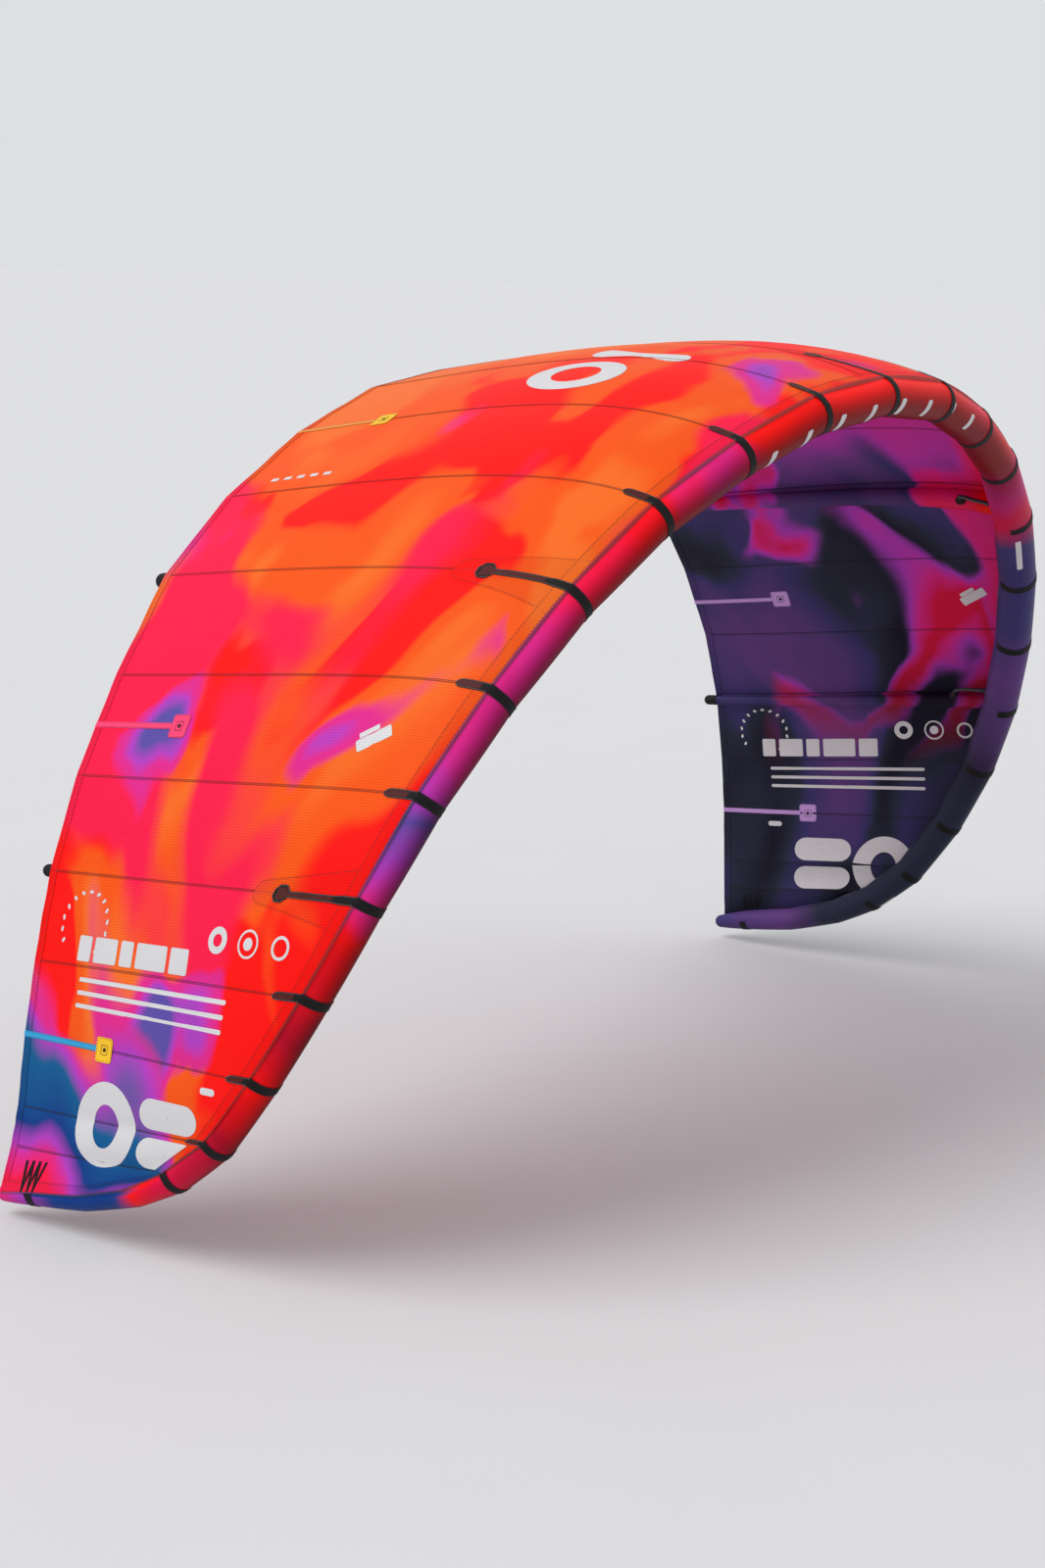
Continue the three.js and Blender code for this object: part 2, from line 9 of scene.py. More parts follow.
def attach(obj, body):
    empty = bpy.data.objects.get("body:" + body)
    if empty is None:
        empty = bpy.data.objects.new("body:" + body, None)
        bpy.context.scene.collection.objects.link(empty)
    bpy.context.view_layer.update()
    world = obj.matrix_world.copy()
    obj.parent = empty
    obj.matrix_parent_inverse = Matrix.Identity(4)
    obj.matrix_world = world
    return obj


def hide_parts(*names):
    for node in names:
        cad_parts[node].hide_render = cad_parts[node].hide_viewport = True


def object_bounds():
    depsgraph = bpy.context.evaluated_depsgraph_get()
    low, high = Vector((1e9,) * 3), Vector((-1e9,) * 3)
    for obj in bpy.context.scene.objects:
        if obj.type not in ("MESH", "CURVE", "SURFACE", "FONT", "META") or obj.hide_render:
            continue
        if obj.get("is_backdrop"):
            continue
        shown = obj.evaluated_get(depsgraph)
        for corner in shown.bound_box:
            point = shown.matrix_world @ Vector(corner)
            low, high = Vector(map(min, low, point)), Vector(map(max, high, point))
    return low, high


# %% [markdown]
# An inflatable kitesurfing kite in its flying shape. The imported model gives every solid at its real
# size: the front tube, the canopy, five struts, seam tapes, hoses, batten pockets and webbing. Here
# each of them gets its fine surface: thin cloth with its seams, hems and patches, thread, and the
# dyed print. Everything is in metres, with +Z up, and the origin in the front tube at mid span.

# %% Load the frame
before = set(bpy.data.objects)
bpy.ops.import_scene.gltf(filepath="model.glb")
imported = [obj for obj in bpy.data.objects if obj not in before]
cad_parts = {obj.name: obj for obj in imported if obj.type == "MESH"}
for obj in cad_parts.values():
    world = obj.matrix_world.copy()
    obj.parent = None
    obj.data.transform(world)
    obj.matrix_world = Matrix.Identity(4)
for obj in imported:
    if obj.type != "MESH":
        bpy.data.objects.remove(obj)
cad_low, cad_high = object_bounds()
scene = bpy.context.scene
print("CAD box:", [round(v, 3) for v in (*cad_low, *cad_high)])

# %% [markdown]
# The camera comes first, because the looks are judged through it. It stands eight metres from the
# middle of the front tube, half a metre above it, and looks slightly down. The lens is 66 mm on a
# 36 mm sensor, which sets the tall picture's height.

# %% Camera
CAMERA_PLACE = (-7.0581, -3.7278, 0.5495)
CAMERA_YAW, CAMERA_PITCH, CAMERA_ROLL = (math.radians(a) for a in (55.2277, -11.7518, 0.9072))
CAMERA_LENS = 66.0


def make_camera():
    forward = Vector((
        math.sin(CAMERA_YAW) * math.cos(CAMERA_PITCH),
        math.cos(CAMERA_YAW) * math.cos(CAMERA_PITCH),
        math.sin(CAMERA_PITCH),
    ))
    level = Vector((math.cos(CAMERA_YAW), -math.sin(CAMERA_YAW), 0))
    lift = level.cross(forward)
    right = level * math.cos(CAMERA_ROLL) + lift * math.sin(CAMERA_ROLL)
    up = right.cross(forward)
    data = bpy.data.cameras.new("photo_camera")
    data.lens = CAMERA_LENS
    data.sensor_width = 36
    camera = bpy.data.objects.new("photo_camera", data)
    turn = Matrix((right, up, -forward)).transposed().to_4x4()
    camera.matrix_world = Matrix.Translation(CAMERA_PLACE) @ turn
    scene.collection.objects.link(camera)
    scene.camera = camera


make_camera()
print("camera at", CAMERA_PLACE)

# %% [markdown]
# The kite's shape is a rule, not a sculpture. The front tube runs through cross-sections, one at
# each seam, and from every section a rib curve goes back over the camber to the trailing edge. The
# canopy is what spans the ribs. The same short table that sized the solids is repeated here in
# millimetres, so that the fine cloth lies where the solids are.

# %% The sections of the right half, from mid span out
MM = 0.001
RIBS = 11
SECTIONS = [
    # across, back, up, radius, join, end across, end back, end up, front, camber
    (0, 0, 0, 54, -15, 0, 1500, 0, 0.3, 0.08),
    (354, 13, -31, 56, -19, 337, 1501, -38, 0.3, 0.078),
    (681, 52, -126, 58, -23, 670, 1503, -148, 0.26, 0.074),
    (981, 108, -260, 59, -27, 984, 1504, -309, 0.2, 0.066),
    (1247, 174, -446, 60, -28, 1242, 1503, -502, 0.16, 0.055),
    (1464, 249, -666, 60, -28, 1442, 1500, -749, 0.14, 0.032),
    (1635, 333, -904, 59, -28, 1598, 1501, -998, 0.1, 0.012),
    (1749, 421, -1146, 57, -26, 1698, 1506, -1240, 0.1, 0),
    (1819, 524, -1382, 54, -20, 1756, 1512, -1474, 0.1, 0.01),
    (1855, 651, -1608, 51, -8, 1792, 1518, -1668, 0.1, 0.015),
    (1858, 792, -1803, 48, 8, 1816, 1525, -1862, 0.12, 0.02),
    (1852, 933, -1921, 45, 22, 1836, 1533, -1968, 0.12, 0.03),
]
TIPS = [
    # across, back, up, radius, join, share of the last panel's edge
    (1851, 1073, -1993, 42.5, 16, 0.28),
    (1846, 1255, -2050, 39, 14, 0.55),
    (1842, 1441, -2082, 34, 13, 0.85),
    (1846, 1547, -2104, 23, 13, 1),
]
TIP_SHARES = [0] + [row[5] for row in TIPS]
LAST = RIBS + len(TIPS)
COUNT = 2 * LAST + 1
CLOTH_LIFT = 1.4 * MM
print("sections to a half:", len(SECTIONS), "and", len(TIPS), "more along the tip tube")

# %% [markdown]
# At every section the tube has its own directions: along its run, out of the arch and to the rear.
# Where it bends, the section is a mitre, as where two pipes meet, so the tube keeps its thickness.
# The halves are mirror images, so only the right one is in the table.

# %% Directions at each section

def unit(v):
    length = np.linalg.norm(v, axis=-1, keepdims=True)
    return v / np.where(length > 0, length, 1)


def dot(a, b):
    return np.sum(a * b, axis=-1, keepdims=True)


def run_length(points):
    """How far along a row of points each of them is."""
    return np.r_[0, np.cumsum(np.linalg.norm(np.diff(points, axis=0), axis=1))]


def smooth_between(before, near, far, after, part):
    """Points between near and far on a curve that also heeds the points before and after them."""
    bend = 2 * before - 5 * near + 4 * far - after
    twist = 3 * near - before - 3 * far + after
    return 0.5 * (2 * near + (far - before) * part + bend * part**2 + twist * part**3)


def mirrored(right):
    """Rows for the whole span from those of the right half, with X turned over on the left."""
    right = np.array(right, float)
    left = right[:0:-1].copy()
    if right.ndim > 1:
        left[:, 0] *= -1
    return np.concatenate([left, right])


def tube_frames():
    """Where each section stands, and the directions it is built on."""
    centre = mirrored([row[:3] for row in SECTIONS] + [row[:3] for row in TIPS]) * MM
    side = np.array([-1] * LAST + [1] * (LAST + 1))
    step = unit(np.diff(centre, axis=0))
    inward = np.vstack([np.zeros(3), step])
    onward = np.vstack([step, np.zeros(3)])
    run = unit(inward + onward)
    segment = np.vstack([step, step[-1:]])
    end = mirrored([row[5:8] for row in SECTIONS]) * MM
    chord = np.zeros((COUNT, 3))
    rib = np.arange(LAST - RIBS, LAST + RIBS + 1)
    chord[rib] = end - centre[rib]
    chord[:rib[0]] = chord[rib[0]]
    chord[rib[-1] + 1:] = chord[rib[-1]]
    across = run.copy()
    beyond = np.r_[0:rib[0], rib[-1] + 1:COUNT]
    across[beyond] = np.stack([np.zeros(len(beyond)), np.zeros(len(beyond)), -side[beyond]], axis=1)
    outward = unit(np.cross(across, chord))
    out = unit(outward - run * dot(outward, run))
    mitre = segment - run * dot(segment, run)
    return {
        "centre": centre, "end": end, "chord": chord, "run": run, "outward": outward, "out": out,
        "rear": unit(np.cross(out, run)), "mitre": unit(mitre), "stretch": 1 / dot(segment, run) - 1,
        "radius": mirrored([row[3] for row in SECTIONS] + [row[3] for row in TIPS]) * MM,
        "join": np.radians(mirrored([row[4] for row in SECTIONS] + [row[4] for row in TIPS])),
    }


F = tube_frames()
print("sections:", COUNT, "from", F["centre"][0].round(3), "to", F["centre"][-1].round(3))

# %% [markdown]
# A point on the tube is given by how far along it is, counted in seams from mid span, and by an
# angle round it. Between two seams the real tube is a cone of cloth, and air pressure swells it by
# about a millimetre between the stiff taped seams.

# %% Points on the front tube
TUBE_SWELL = 1.1 * MM


def tube_ring_point(k, angle, extra):
    spoke = F["out"][k] * np.cos(angle)[:, None] + F["rear"][k] * np.sin(angle)[:, None]
    spoke = spoke + F["mitre"][k] * dot(spoke, F["mitre"][k]) * F["stretch"][k]
    return F["centre"][k] + spoke * (F["radius"][k] + extra)[:, None]


def tube_point(along, angle, extra=0.0):
    """Points on the tube's skin; along counts seams from mid span, -15 to 15."""
    along, angle, extra = np.broadcast_arrays(np.atleast_1d(along).astype(float), angle, extra)
    place = np.clip(along + LAST, 0, COUNT - 1 - 1e-9)
    k = np.floor(place).astype(int)
    part = place - k
    swell = TUBE_SWELL * 4 * part * (1 - part)
    near = tube_ring_point(k, angle, extra + swell)
    far = tube_ring_point(k + 1, angle, extra + swell)
    return near + (far - near) * part[:, None]


def join_angle(along):
    return np.interp(np.asarray(along, float) + LAST, np.arange(COUNT), F["join"])

print("front tube's axis:", round(float(run_length(F["centre"])[-1]), 2), "m long")

# %% [markdown]
# The canopy is a function too: a place on it is a rib number from -12 to 12, where 12 is the edge
# sewn to the tip tube, and a share of the chord, 0 at the tube and 1 at the trailing edge. Ribs are
# Bezier curves. Near the tube the cloth runs smoothly over the ribs; at the trailing edge it
# goes straight from one to the next, as the hem is pulled tight.

# %% The canopy's surface
TIP_EDGE = RIBS + 1
PANEL_CROWN = 8 * MM
FLUTTER = 1.6 * MM


def rib_controls():
    k = np.arange(LAST - RIBS, LAST + RIBS + 1)
    front, camber = (mirrored([row[i] for row in SECTIONS])[:, None] for i in (8, 9))
    centre, run, rear, out = (F[name][k] for name in ("centre", "run", "rear", "out"))
    join = F["join"][k]
    length = np.linalg.norm(F["chord"][k], axis=1)[:, None]
    back = F["chord"][k] / length
    start = tube_ring_point(k, join, np.full(len(k), CLOTH_LIFT))
    wrap = rear * np.cos(join)[:, None] - out * np.sin(join)[:, None]
    leave = wrap * dot(back, rear) + run * dot(back, run)
    rise = start + leave * front * length
    fall = centre + back * 0.55 * length + F["outward"][k] * camber * length
    return np.stack([start, rise, fall, F["end"]], axis=1)


def tip_knots(side):
    """The points of the tip tube that the last panel's edge is sewn to."""
    knots = LAST + side * np.arange(RIBS, LAST + 1)
    return tube_ring_point(knots, F["join"][knots], np.full(len(knots), CLOTH_LIFT))


CONTROLS = rib_controls()
TIP_KNOTS = {side: tip_knots(side) for side in (-1, 1)}


print("rib curves:", len(CONTROLS))

# %% [markdown]
# Between two ribs the cloth is a blend of both, with a shallow crown, as the wind makes each panel
# swell. What the moving air does is added last: a slow flutter near the trailing edge and small
# puckers where the cloth is sewn to the tube. A cloth simulation could find such shapes too, but
# a function is quicker and gives a strip or a stitch the very same surface to lie on.

# %% Any point of the canopy
def rib_point(rib, share):
    """Points of the rib curves; rib is a whole number from -11 to 11."""
    c = CONTROLS[np.clip(rib + RIBS, 0, 2 * RIBS)]
    t = share[:, None]
    u = 1 - t
    return c[:, 0] * u**3 + 3 * c[:, 1] * u**2 * t + 3 * c[:, 2] * u * t**2 + c[:, 3] * t**3


def tip_point(side, share):
    return np.stack([np.interp(share, TIP_SHARES, TIP_KNOTS[side][:, axis]) for axis in range(3)], axis=1)


def skin_base(x, share):
    """The canopy without its ripples: x is the place in ribs, share the place along the chord."""
    x, share = np.broadcast_arrays(np.atleast_1d(x).astype(float), share)
    x, share = x.ravel(), share.ravel()
    panel = np.clip(np.floor(x), -TIP_EDGE, TIP_EDGE - 1).astype(int)
    part = (x - panel)[:, None]
    near, far = rib_point(panel, share), rib_point(panel + 1, share)
    for side, panel_there, end in ((-1, -TIP_EDGE, near), (1, RIBS, far)):
        there = panel == panel_there
        end[there] = tip_point(side, share[there])
    straight = near + (far - near) * part
    before, after = rib_point(panel - 1, share), rib_point(panel + 2, share)
    curved = smooth_between(before, near, far, after, part)
    inner = (panel >= -RIBS + 1) & (panel <= RIBS - 2)
    smooth = np.where(inner, 0.8 * (1 - share**5), 0)[:, None]
    point = straight + (curved - straight) * smooth
    first, second = (F["outward"][np.clip(panel + n + LAST, LAST - RIBS, LAST + RIBS)] for n in (0, 1))
    crown = np.where((panel >= -RIBS) & (panel < RIBS), PANEL_CROWN, 0)[:, None] * 4 * part * (1 - part)
    return point + (first + (second - first) * part) * crown * np.sin(np.pi * share)[:, None]


def skin_normal(x, share):
    step = 0.02
    x, share = np.broadcast_arrays(np.atleast_1d(x).astype(float), share)
    x, share = x.ravel(), share.ravel()
    mid = np.clip(share, 0.01, 0.995)
    a, b = np.clip(x - step, -TIP_EDGE, TIP_EDGE), np.clip(x + step, -TIP_EDGE, TIP_EDGE)
    along = skin_base(b, mid) - skin_base(a, mid)
    back = skin_base(x, np.clip(mid + 0.005, 0, 1)) - skin_base(x, mid - 0.005)
    return unit(np.cross(along, back))


def ripple(x, share):
    """How far the cloth stands off its even shape: a slow flutter at the back, puckers at the tube."""
    part = x - np.floor(x)
    hold = np.sin(np.pi * part) ** 2
    flutter = share**3 * np.sin(9.5 * x + 4 * share) * (0.6 + 0.4 * np.sin(2.3 * x))
    pucker = np.exp(-share / 0.06) * (1 - np.exp(-share / 0.012))
    pucker = pucker * np.sin(2 * np.pi * 4 * x + 1.7 * np.sin(3 * x))
    fold = np.exp(-((share - 0.32 - 0.1 * np.sin(x)) / 0.05) ** 2) * np.sin(2.7 * x + 1)
    return hold * (FLUTTER * flutter + 0.9 * MM * pucker + 0.8 * MM * fold)


def skin(x, share, lift=0.0):
    """Points of the canopy's middle surface, lifted off it along its normal."""
    x, share, lift = np.broadcast_arrays(np.atleast_1d(x).astype(float), share, lift)
    x, share, lift = x.ravel(), share.ravel(), lift.ravel()
    return skin_base(x, share) + skin_normal(x, share) * (lift + ripple(x, share))[:, None]


print("middle of the canopy:", skin(0, 0.5)[0].round(3))

# %% [markdown]
# Cloth patterns are measured on the cloth, so every point of the canopy also gets its place in
# metres: how far along the trailing edge, and how far in from it. This map is nearly true to
# length, so weave, stitches and printed shapes keep their size all over. The same tables are read
# the other way round to lay a patch or a printed shape at a place given in metres.

# %% The cloth's own measure
MAP_STEPS = 16
MAP_X = np.linspace(-TIP_EDGE, TIP_EDGE, 2 * TIP_EDGE * MAP_STEPS + 1)
MAP_SHARE = np.linspace(0, 1, 61)


def cloth_tables():
    grid = skin_base(*(a.ravel() for a in np.meshgrid(MAP_X, MAP_SHARE, indexing="ij")))
    grid = grid.reshape(len(MAP_X), len(MAP_SHARE), 3)
    pieces = np.linalg.norm(np.diff(grid, axis=1), axis=2)
    from_edge = np.cumsum(np.hstack([np.zeros((len(MAP_X), 1)), pieces[:, ::-1]]), axis=1)[:, ::-1]
    along = run_length(grid[:, -1])
    return along - along[len(MAP_X) // 2], from_edge


MAP_U, MAP_V = cloth_tables()


def cloth_uv(x, share):
    """Metres along the trailing edge and metres in from it."""
    x, share = np.broadcast_arrays(np.atleast_1d(x).astype(float), share)
    row = np.clip((x + TIP_EDGE) * MAP_STEPS, 0, len(MAP_X) - 1.000001)
    column = np.clip(share * (len(MAP_SHARE) - 1), 0, len(MAP_SHARE) - 1.000001)
    i, j = row.astype(int), column.astype(int)
    a, b = row - i, column - j
    v = (
        MAP_V[i, j] * (1 - a) * (1 - b) + MAP_V[i + 1, j] * a * (1 - b)
        + MAP_V[i, j + 1] * (1 - a) * b + MAP_V[i + 1, j + 1] * a * b
    )
    return np.stack([np.interp(x, MAP_X, MAP_U), v], axis=-1)


def cloth_place(u, v):
    """Rib number and chord share of places given in metres on the cloth."""
    u, v = np.broadcast_arrays(np.atleast_1d(u).astype(float), v)
    x = np.interp(u, MAP_U, MAP_X)
    row = np.clip((x + TIP_EDGE) * MAP_STEPS, 0, len(MAP_X) - 1.000001)
    i = row.astype(int)
    lengths = MAP_V[i] + (MAP_V[i + 1] - MAP_V[i]) * (row - i)[:, None]
    share = np.array([np.interp(at, line[::-1], MAP_SHARE[::-1]) for at, line in zip(v, lengths)])
    return x, share


# %% [markdown]
# Everything below is cloth in one form or another, so two helpers make most meshes. A sheet is a
# grid of points with a thickness, closed all round, so that it is a real body and not a single
# skin. A tube is a row of rings, closed at both ends. Both carry two maps: "cloth" in metres, for
# weave and print, and "place", rib number and chord share, for what depends on where it is.

# %% Helpers that make meshes
PIECES = {}
SHARP_ANGLE = math.radians(40)


def signed_volume(points, faces):
    """Positive where the faces point outwards."""
    a, b, c = points[np.array([face[:3] for face in faces]).T]
    total = np.sum(a * np.cross(b, c))
    a, _, c, d = points[np.array([face[:4] for face in faces if len(face) == 4]).T]
    return (total + np.sum(a * np.cross(c, d))) / 6


def add_mesh(name, points, faces, material, cloth=None, place=None, weld=False):
    points = np.asarray(points, float)
    if signed_volume(points, faces) < 0:
        faces = [face[::-1] for face in faces]
    mesh = bpy.data.meshes.new(name)
    mesh.from_pydata(points.tolist(), [], faces)
    corner = np.empty(len(mesh.loops), dtype=np.int32)
    mesh.loops.foreach_get("vertex_index", corner)
    for title, values in (("cloth", cloth), ("place", place)):
        if values is not None:
            layer = mesh.uv_layers.new(name=title)
            layer.data.foreach_set("uv", np.asarray(values, np.float32)[corner].ravel())
    mesh.polygons.foreach_set("use_smooth", np.ones(len(mesh.polygons), bool))
    mesh.materials.append(material)
    mesh.set_sharp_from_angle(angle=SHARP_ANGLE)
    if weld:
        body = bmesh.new()
        body.from_mesh(mesh)
        bmesh.ops.remove_doubles(body, verts=body.verts, dist=1e-6)
        body.to_mesh(mesh)
        body.free()
    mesh.update()
    piece = bpy.data.objects.new(name, mesh)
    scene.collection.objects.link(piece)
    PIECES[name] = piece
    return piece


def grid_faces(rows, columns, closed=False, base=0):
    faces = []
    for i in range(rows - 1):
        for j in range(columns - (not closed)):
            a = base + i * columns + j
            b = base + i * columns + (j + 1) % columns
            faces.append((a, a + columns, b + columns, b))
    return faces


def mesh_grid(rows, columns):
    return np.meshgrid(rows, columns, indexing="ij")


def grid_normal(middle):
    """The direction square to a grid of points, at each of them."""
    return unit(np.cross(np.gradient(middle, axis=0), np.gradient(middle, axis=1)))


def skin_grid(x, share, lift=0.0):
    """Points of the canopy for grids of places and heights."""
    return skin(x.ravel(), share.ravel(), np.ravel(lift)).reshape(*x.shape, 3)


def both(values):
    """A map given for a sheet's outer points, and again for its inner ones."""
    return np.vstack([values, values])


def sheet_body(middle, normal, thickness, closed=False):
    """Points and faces of a grid (rows, columns, 3) given a thickness and closed along its edges."""
    rows, columns = middle.shape[:2]
    count = rows * columns
    half = normal * thickness / 2
    points = np.concatenate([(middle + half).reshape(-1, 3), (middle - half).reshape(-1, 3)])
    faces = grid_faces(rows, columns, closed)
    faces += [(a + count, d + count, c + count, b + count) for a, b, c, d in faces]
    for j in range(columns - (not closed)):
        nxt = (j + 1) % columns
        last = (rows - 1) * columns
        faces.append((j, nxt, nxt + count, j + count))
        faces.append((last + j, last + j + count, last + nxt + count, last + nxt))
    if not closed:
        for i in range(rows - 1):
            a, b = i * columns, (i + 1) * columns
            faces.append((a, a + count, b + count, b))
            a, b = a + columns - 1, b + columns - 1
            faces.append((a, b, b + count, a + count))
    return points, faces

# %% [markdown]
# Many small bodies of one kind, such as the windows of the tapes, are gathered into one piece. The
# same helper lays a grid of places on the canopy as a thin body, and this is how each seam, patch
# and printed shape gets there.

# %% Many bodies in one piece
class Bodies:
    """Several closed bodies gathered into one piece."""

    def __init__(self):
        self.points, self.faces, self.cloth, self.place = [], [], [], []
        self.count = 0

    def add(self, points, faces, cloth, place):
        if signed_volume(points, faces) < 0:
            faces = [face[::-1] for face in faces]
        self.faces += [tuple(v + self.count for v in face) for face in faces]
        self.points.append(points)
        self.cloth.append(cloth)
        self.place.append(place)
        self.count += len(points)

    def lay(self, x, share, lift, thickness, closed=False):
        """A grid of places laid on the canopy as a thin body; a negative lift is the inner face."""
        flat_x, flat_share = x.ravel(), share.ravel()
        normal = skin_normal(flat_x, flat_share).reshape(*x.shape, 3)
        cloth = cloth_uv(flat_x, flat_share)
        place = np.stack([flat_x, flat_share], axis=1)
        body = sheet_body(skin_grid(x, share, lift), normal, thickness, closed)
        self.add(*body, both(cloth), both(place))

    def build(self, name, material):
        maps = np.vstack(self.cloth), np.vstack(self.place)
        return add_mesh(name, np.vstack(self.points), self.faces, material, *maps)

# %% [markdown]
# Materials are written as small node trees. This helper adds a node and wires it in one line, so
# that each finish below reads like its recipe. Every value that is the same all over the
# surface is set on the shader itself.

# %% A helper that writes node trees
class Tree:
    def __init__(self, tree):
        self.tree = tree

    def node(self, kind, inputs=(), **settings):
        made = self.tree.nodes.new(kind)
        for name, value in settings.items():
            setattr(made, name, value)
        for socket, value in dict(inputs).items():
            self.put(made.inputs[socket], value)
        return made

    def put(self, socket, value):
        if isinstance(value, bpy.types.NodeSocket):
            self.tree.links.new(value, socket)
        elif socket.type == "RGBA" and len(value) == 3:
            socket.default_value = (*value, 1)
        else:
            socket.default_value = value

    def math(self, operation, a, b=0.0, c=0.0):
        return self.node("ShaderNodeMath", {0: a, 1: b, 2: c}, operation=operation).outputs[0]

    def add(self, vector, offset):
        return self.node("ShaderNodeVectorMath", {0: vector, 1: offset}, operation="ADD").outputs[0]

    def scale(self, vector, by):
        return self.node("ShaderNodeVectorMath", {0: vector, "Scale": by}, operation="SCALE").outputs[0]

    def step(self, value, low, high):
        """0 below low and 1 above high, with a smooth rise between them."""
        inputs = {"Value": value, "From Min": low, "From Max": high}
        return self.node("ShaderNodeMapRange", inputs, interpolation_type="SMOOTHSTEP").outputs[0]

    def mix(self, share, a, b, blend="MIX"):
        made = self.node("ShaderNodeMix", data_type="RGBA", blend_type=blend)
        for index, value in ((0, share), (6, a), (7, b)):
            self.put(made.inputs[index], value)
        return made.outputs[2]

    def tint(self, colour, by):
        """The colour with each of its channels multiplied."""
        return self.mix(1.0, colour, by, "MULTIPLY")

    def noise(self, vector, scale, detail=2.0, roughness=0.5):
        inputs = {"Vector": vector, "Scale": scale, "Detail": detail, "Roughness": roughness}
        return self.node("ShaderNodeTexNoise", inputs)

    def fac(self, vector, scale, detail=2.0, roughness=0.5):
        return self.noise(vector, scale, detail, roughness).outputs["Fac"]

    def ramp(self, value, stops):
        made = self.node("ShaderNodeValToRGB", {"Fac": value})
        points = made.color_ramp.elements
        points[0].position, points[1].position = stops[0][0], stops[-1][0]
        points[0].color, points[1].color = (*stops[0][1], 1), (*stops[-1][1], 1)
        for position, colour in stops[1:-1]:
            points.new(position).color = (*colour, 1)
        return made.outputs["Color"]

    def map(self, title):
        return self.node("ShaderNodeUVMap", uv_map=title).outputs["UV"]

    def split(self, vector):
        made = self.node("ShaderNodeSeparateXYZ", {0: vector})
        return made.outputs[0], made.outputs[1]

    def group(self, group):
        return self.node("ShaderNodeGroup", node_tree=group).outputs


def new_group(name, outputs):
    group = bpy.data.node_groups.new(name, "ShaderNodeTree")
    for title, kind in outputs.items():
        group.interface.new_socket(title, in_out="OUTPUT", socket_type=kind)
    return group, Tree(group)


def new_material(name, **sockets):
    made = bpy.data.materials.new(name)
    made.use_nodes = True
    shader = made.node_tree.nodes["Principled BSDF"]
    for title, value in sockets.items():
        shader.inputs[title.replace("_", " ")].default_value = value
    return made, Tree(made.node_tree), shader

# %% [markdown]
# The dye on the cloth is a soft cloud print that shows through both faces: warm reds and oranges
# over one half, going over to dark violet with bright veins over the other. It is worked out
# from noise alone. A slow noise bends the cloth's own map first, which draws the clouds out
# into streaks, and several cuts through finer noises then choose the colours. The print reads
# the metre map, so it runs on unbroken over seams, hems and patches.

# %% The dye's colours
RED, ORANGE, AMBER = (0.95, 0.004, 0.002), (0.86, 0.085, 0.004), (0.86, 0.145, 0.015)
ROSE, MAGENTA, VIOLET = (0.9, 0.008, 0.06), (0.7, 0.02, 0.24), (0.42, 0.045, 0.48)
INDIGO, TEAL, DEEP_BLUE = (0.1, 0.07, 0.34), (0.003, 0.1, 0.26), (0.003, 0.04, 0.22)
NIGHT, SLATE = (0.009, 0.008, 0.02), (0.022, 0.026, 0.05)
DUSK, PLUM = (0.045, 0.036, 0.14), (0.11, 0.045, 0.19)
CRIMSON, DEEP_RED = (0.68, 0.004, 0.05), (0.42, 0.002, 0.02)


def bent_places(t, count):
    """The metre map bent into streaks, in copies far enough apart to give unrelated noises."""
    cloth = t.node("ShaderNodeMapping", {"Vector": t.map("cloth"), "Scale": (0.72, 1.15, 1.0)}).outputs[0]
    bend = t.add(t.noise(cloth, 1.0, 1.5).outputs["Color"], (-0.5, -0.5, -0.5))
    bent = t.add(cloth, t.scale(bend, 1.3))
    bent = t.add(bent, t.scale(t.noise(bent, 3.6, 2.0).outputs["Color"], 0.2))
    return [t.add(bent, (3.7 * n + 1.9, 1.9 * n, 0.8 * n)) for n in range(count)]


def warm_clouds(t, places, across, share):
    # orange gathers in the middle of the span towards the trailing edge, and violet keeps off there
    back = t.math("MULTIPLY", t.step(across, -7.5, -3.5), t.step(share, 0.15, 0.6))
    heat = t.math("MULTIPLY_ADD", back, 0.055, t.fac(places[0], 1.9, 2.0, 0.5))
    rose = t.fac(places[1], 1.6, 1.5, 0.4)
    cool = t.math("MULTIPLY_ADD", back, -0.07, t.fac(places[2], 2.0, 1.0, 0.4))
    warm = t.mix(t.step(heat, 0.445, 0.505), RED, ORANGE)
    warm = t.mix(t.step(heat, 0.54, 0.64), warm, AMBER)
    warm = t.mix(t.step(rose, 0.535, 0.61), warm, ROSE)
    blot = t.ramp(cool, [(0.58, MAGENTA), (0.63, MAGENTA), (0.66, VIOLET), (0.7, INDIGO)])
    warm = t.mix(t.step(cool, 0.575, 0.62), warm, blot)
    # towards the left tip the warm colours give way to blue, with a violet rim
    sea = t.math("MULTIPLY_ADD", across, -0.11, t.math("MULTIPLY", share, 0.25))
    sea = t.math("MULTIPLY_ADD", t.fac(places[3], 1.5, 1.0), 0.5, sea)
    deep = t.ramp(t.math("SUBTRACT", sea, 1.0), [
        (0.42, MAGENTA), (0.45, VIOLET), (0.49, TEAL), (0.6, DEEP_BLUE),
        (0.66, VIOLET), (0.7, MAGENTA), (0.76, ROSE),
    ])
    return t.mix(t.step(sea, 1.4, 1.44), warm, deep)


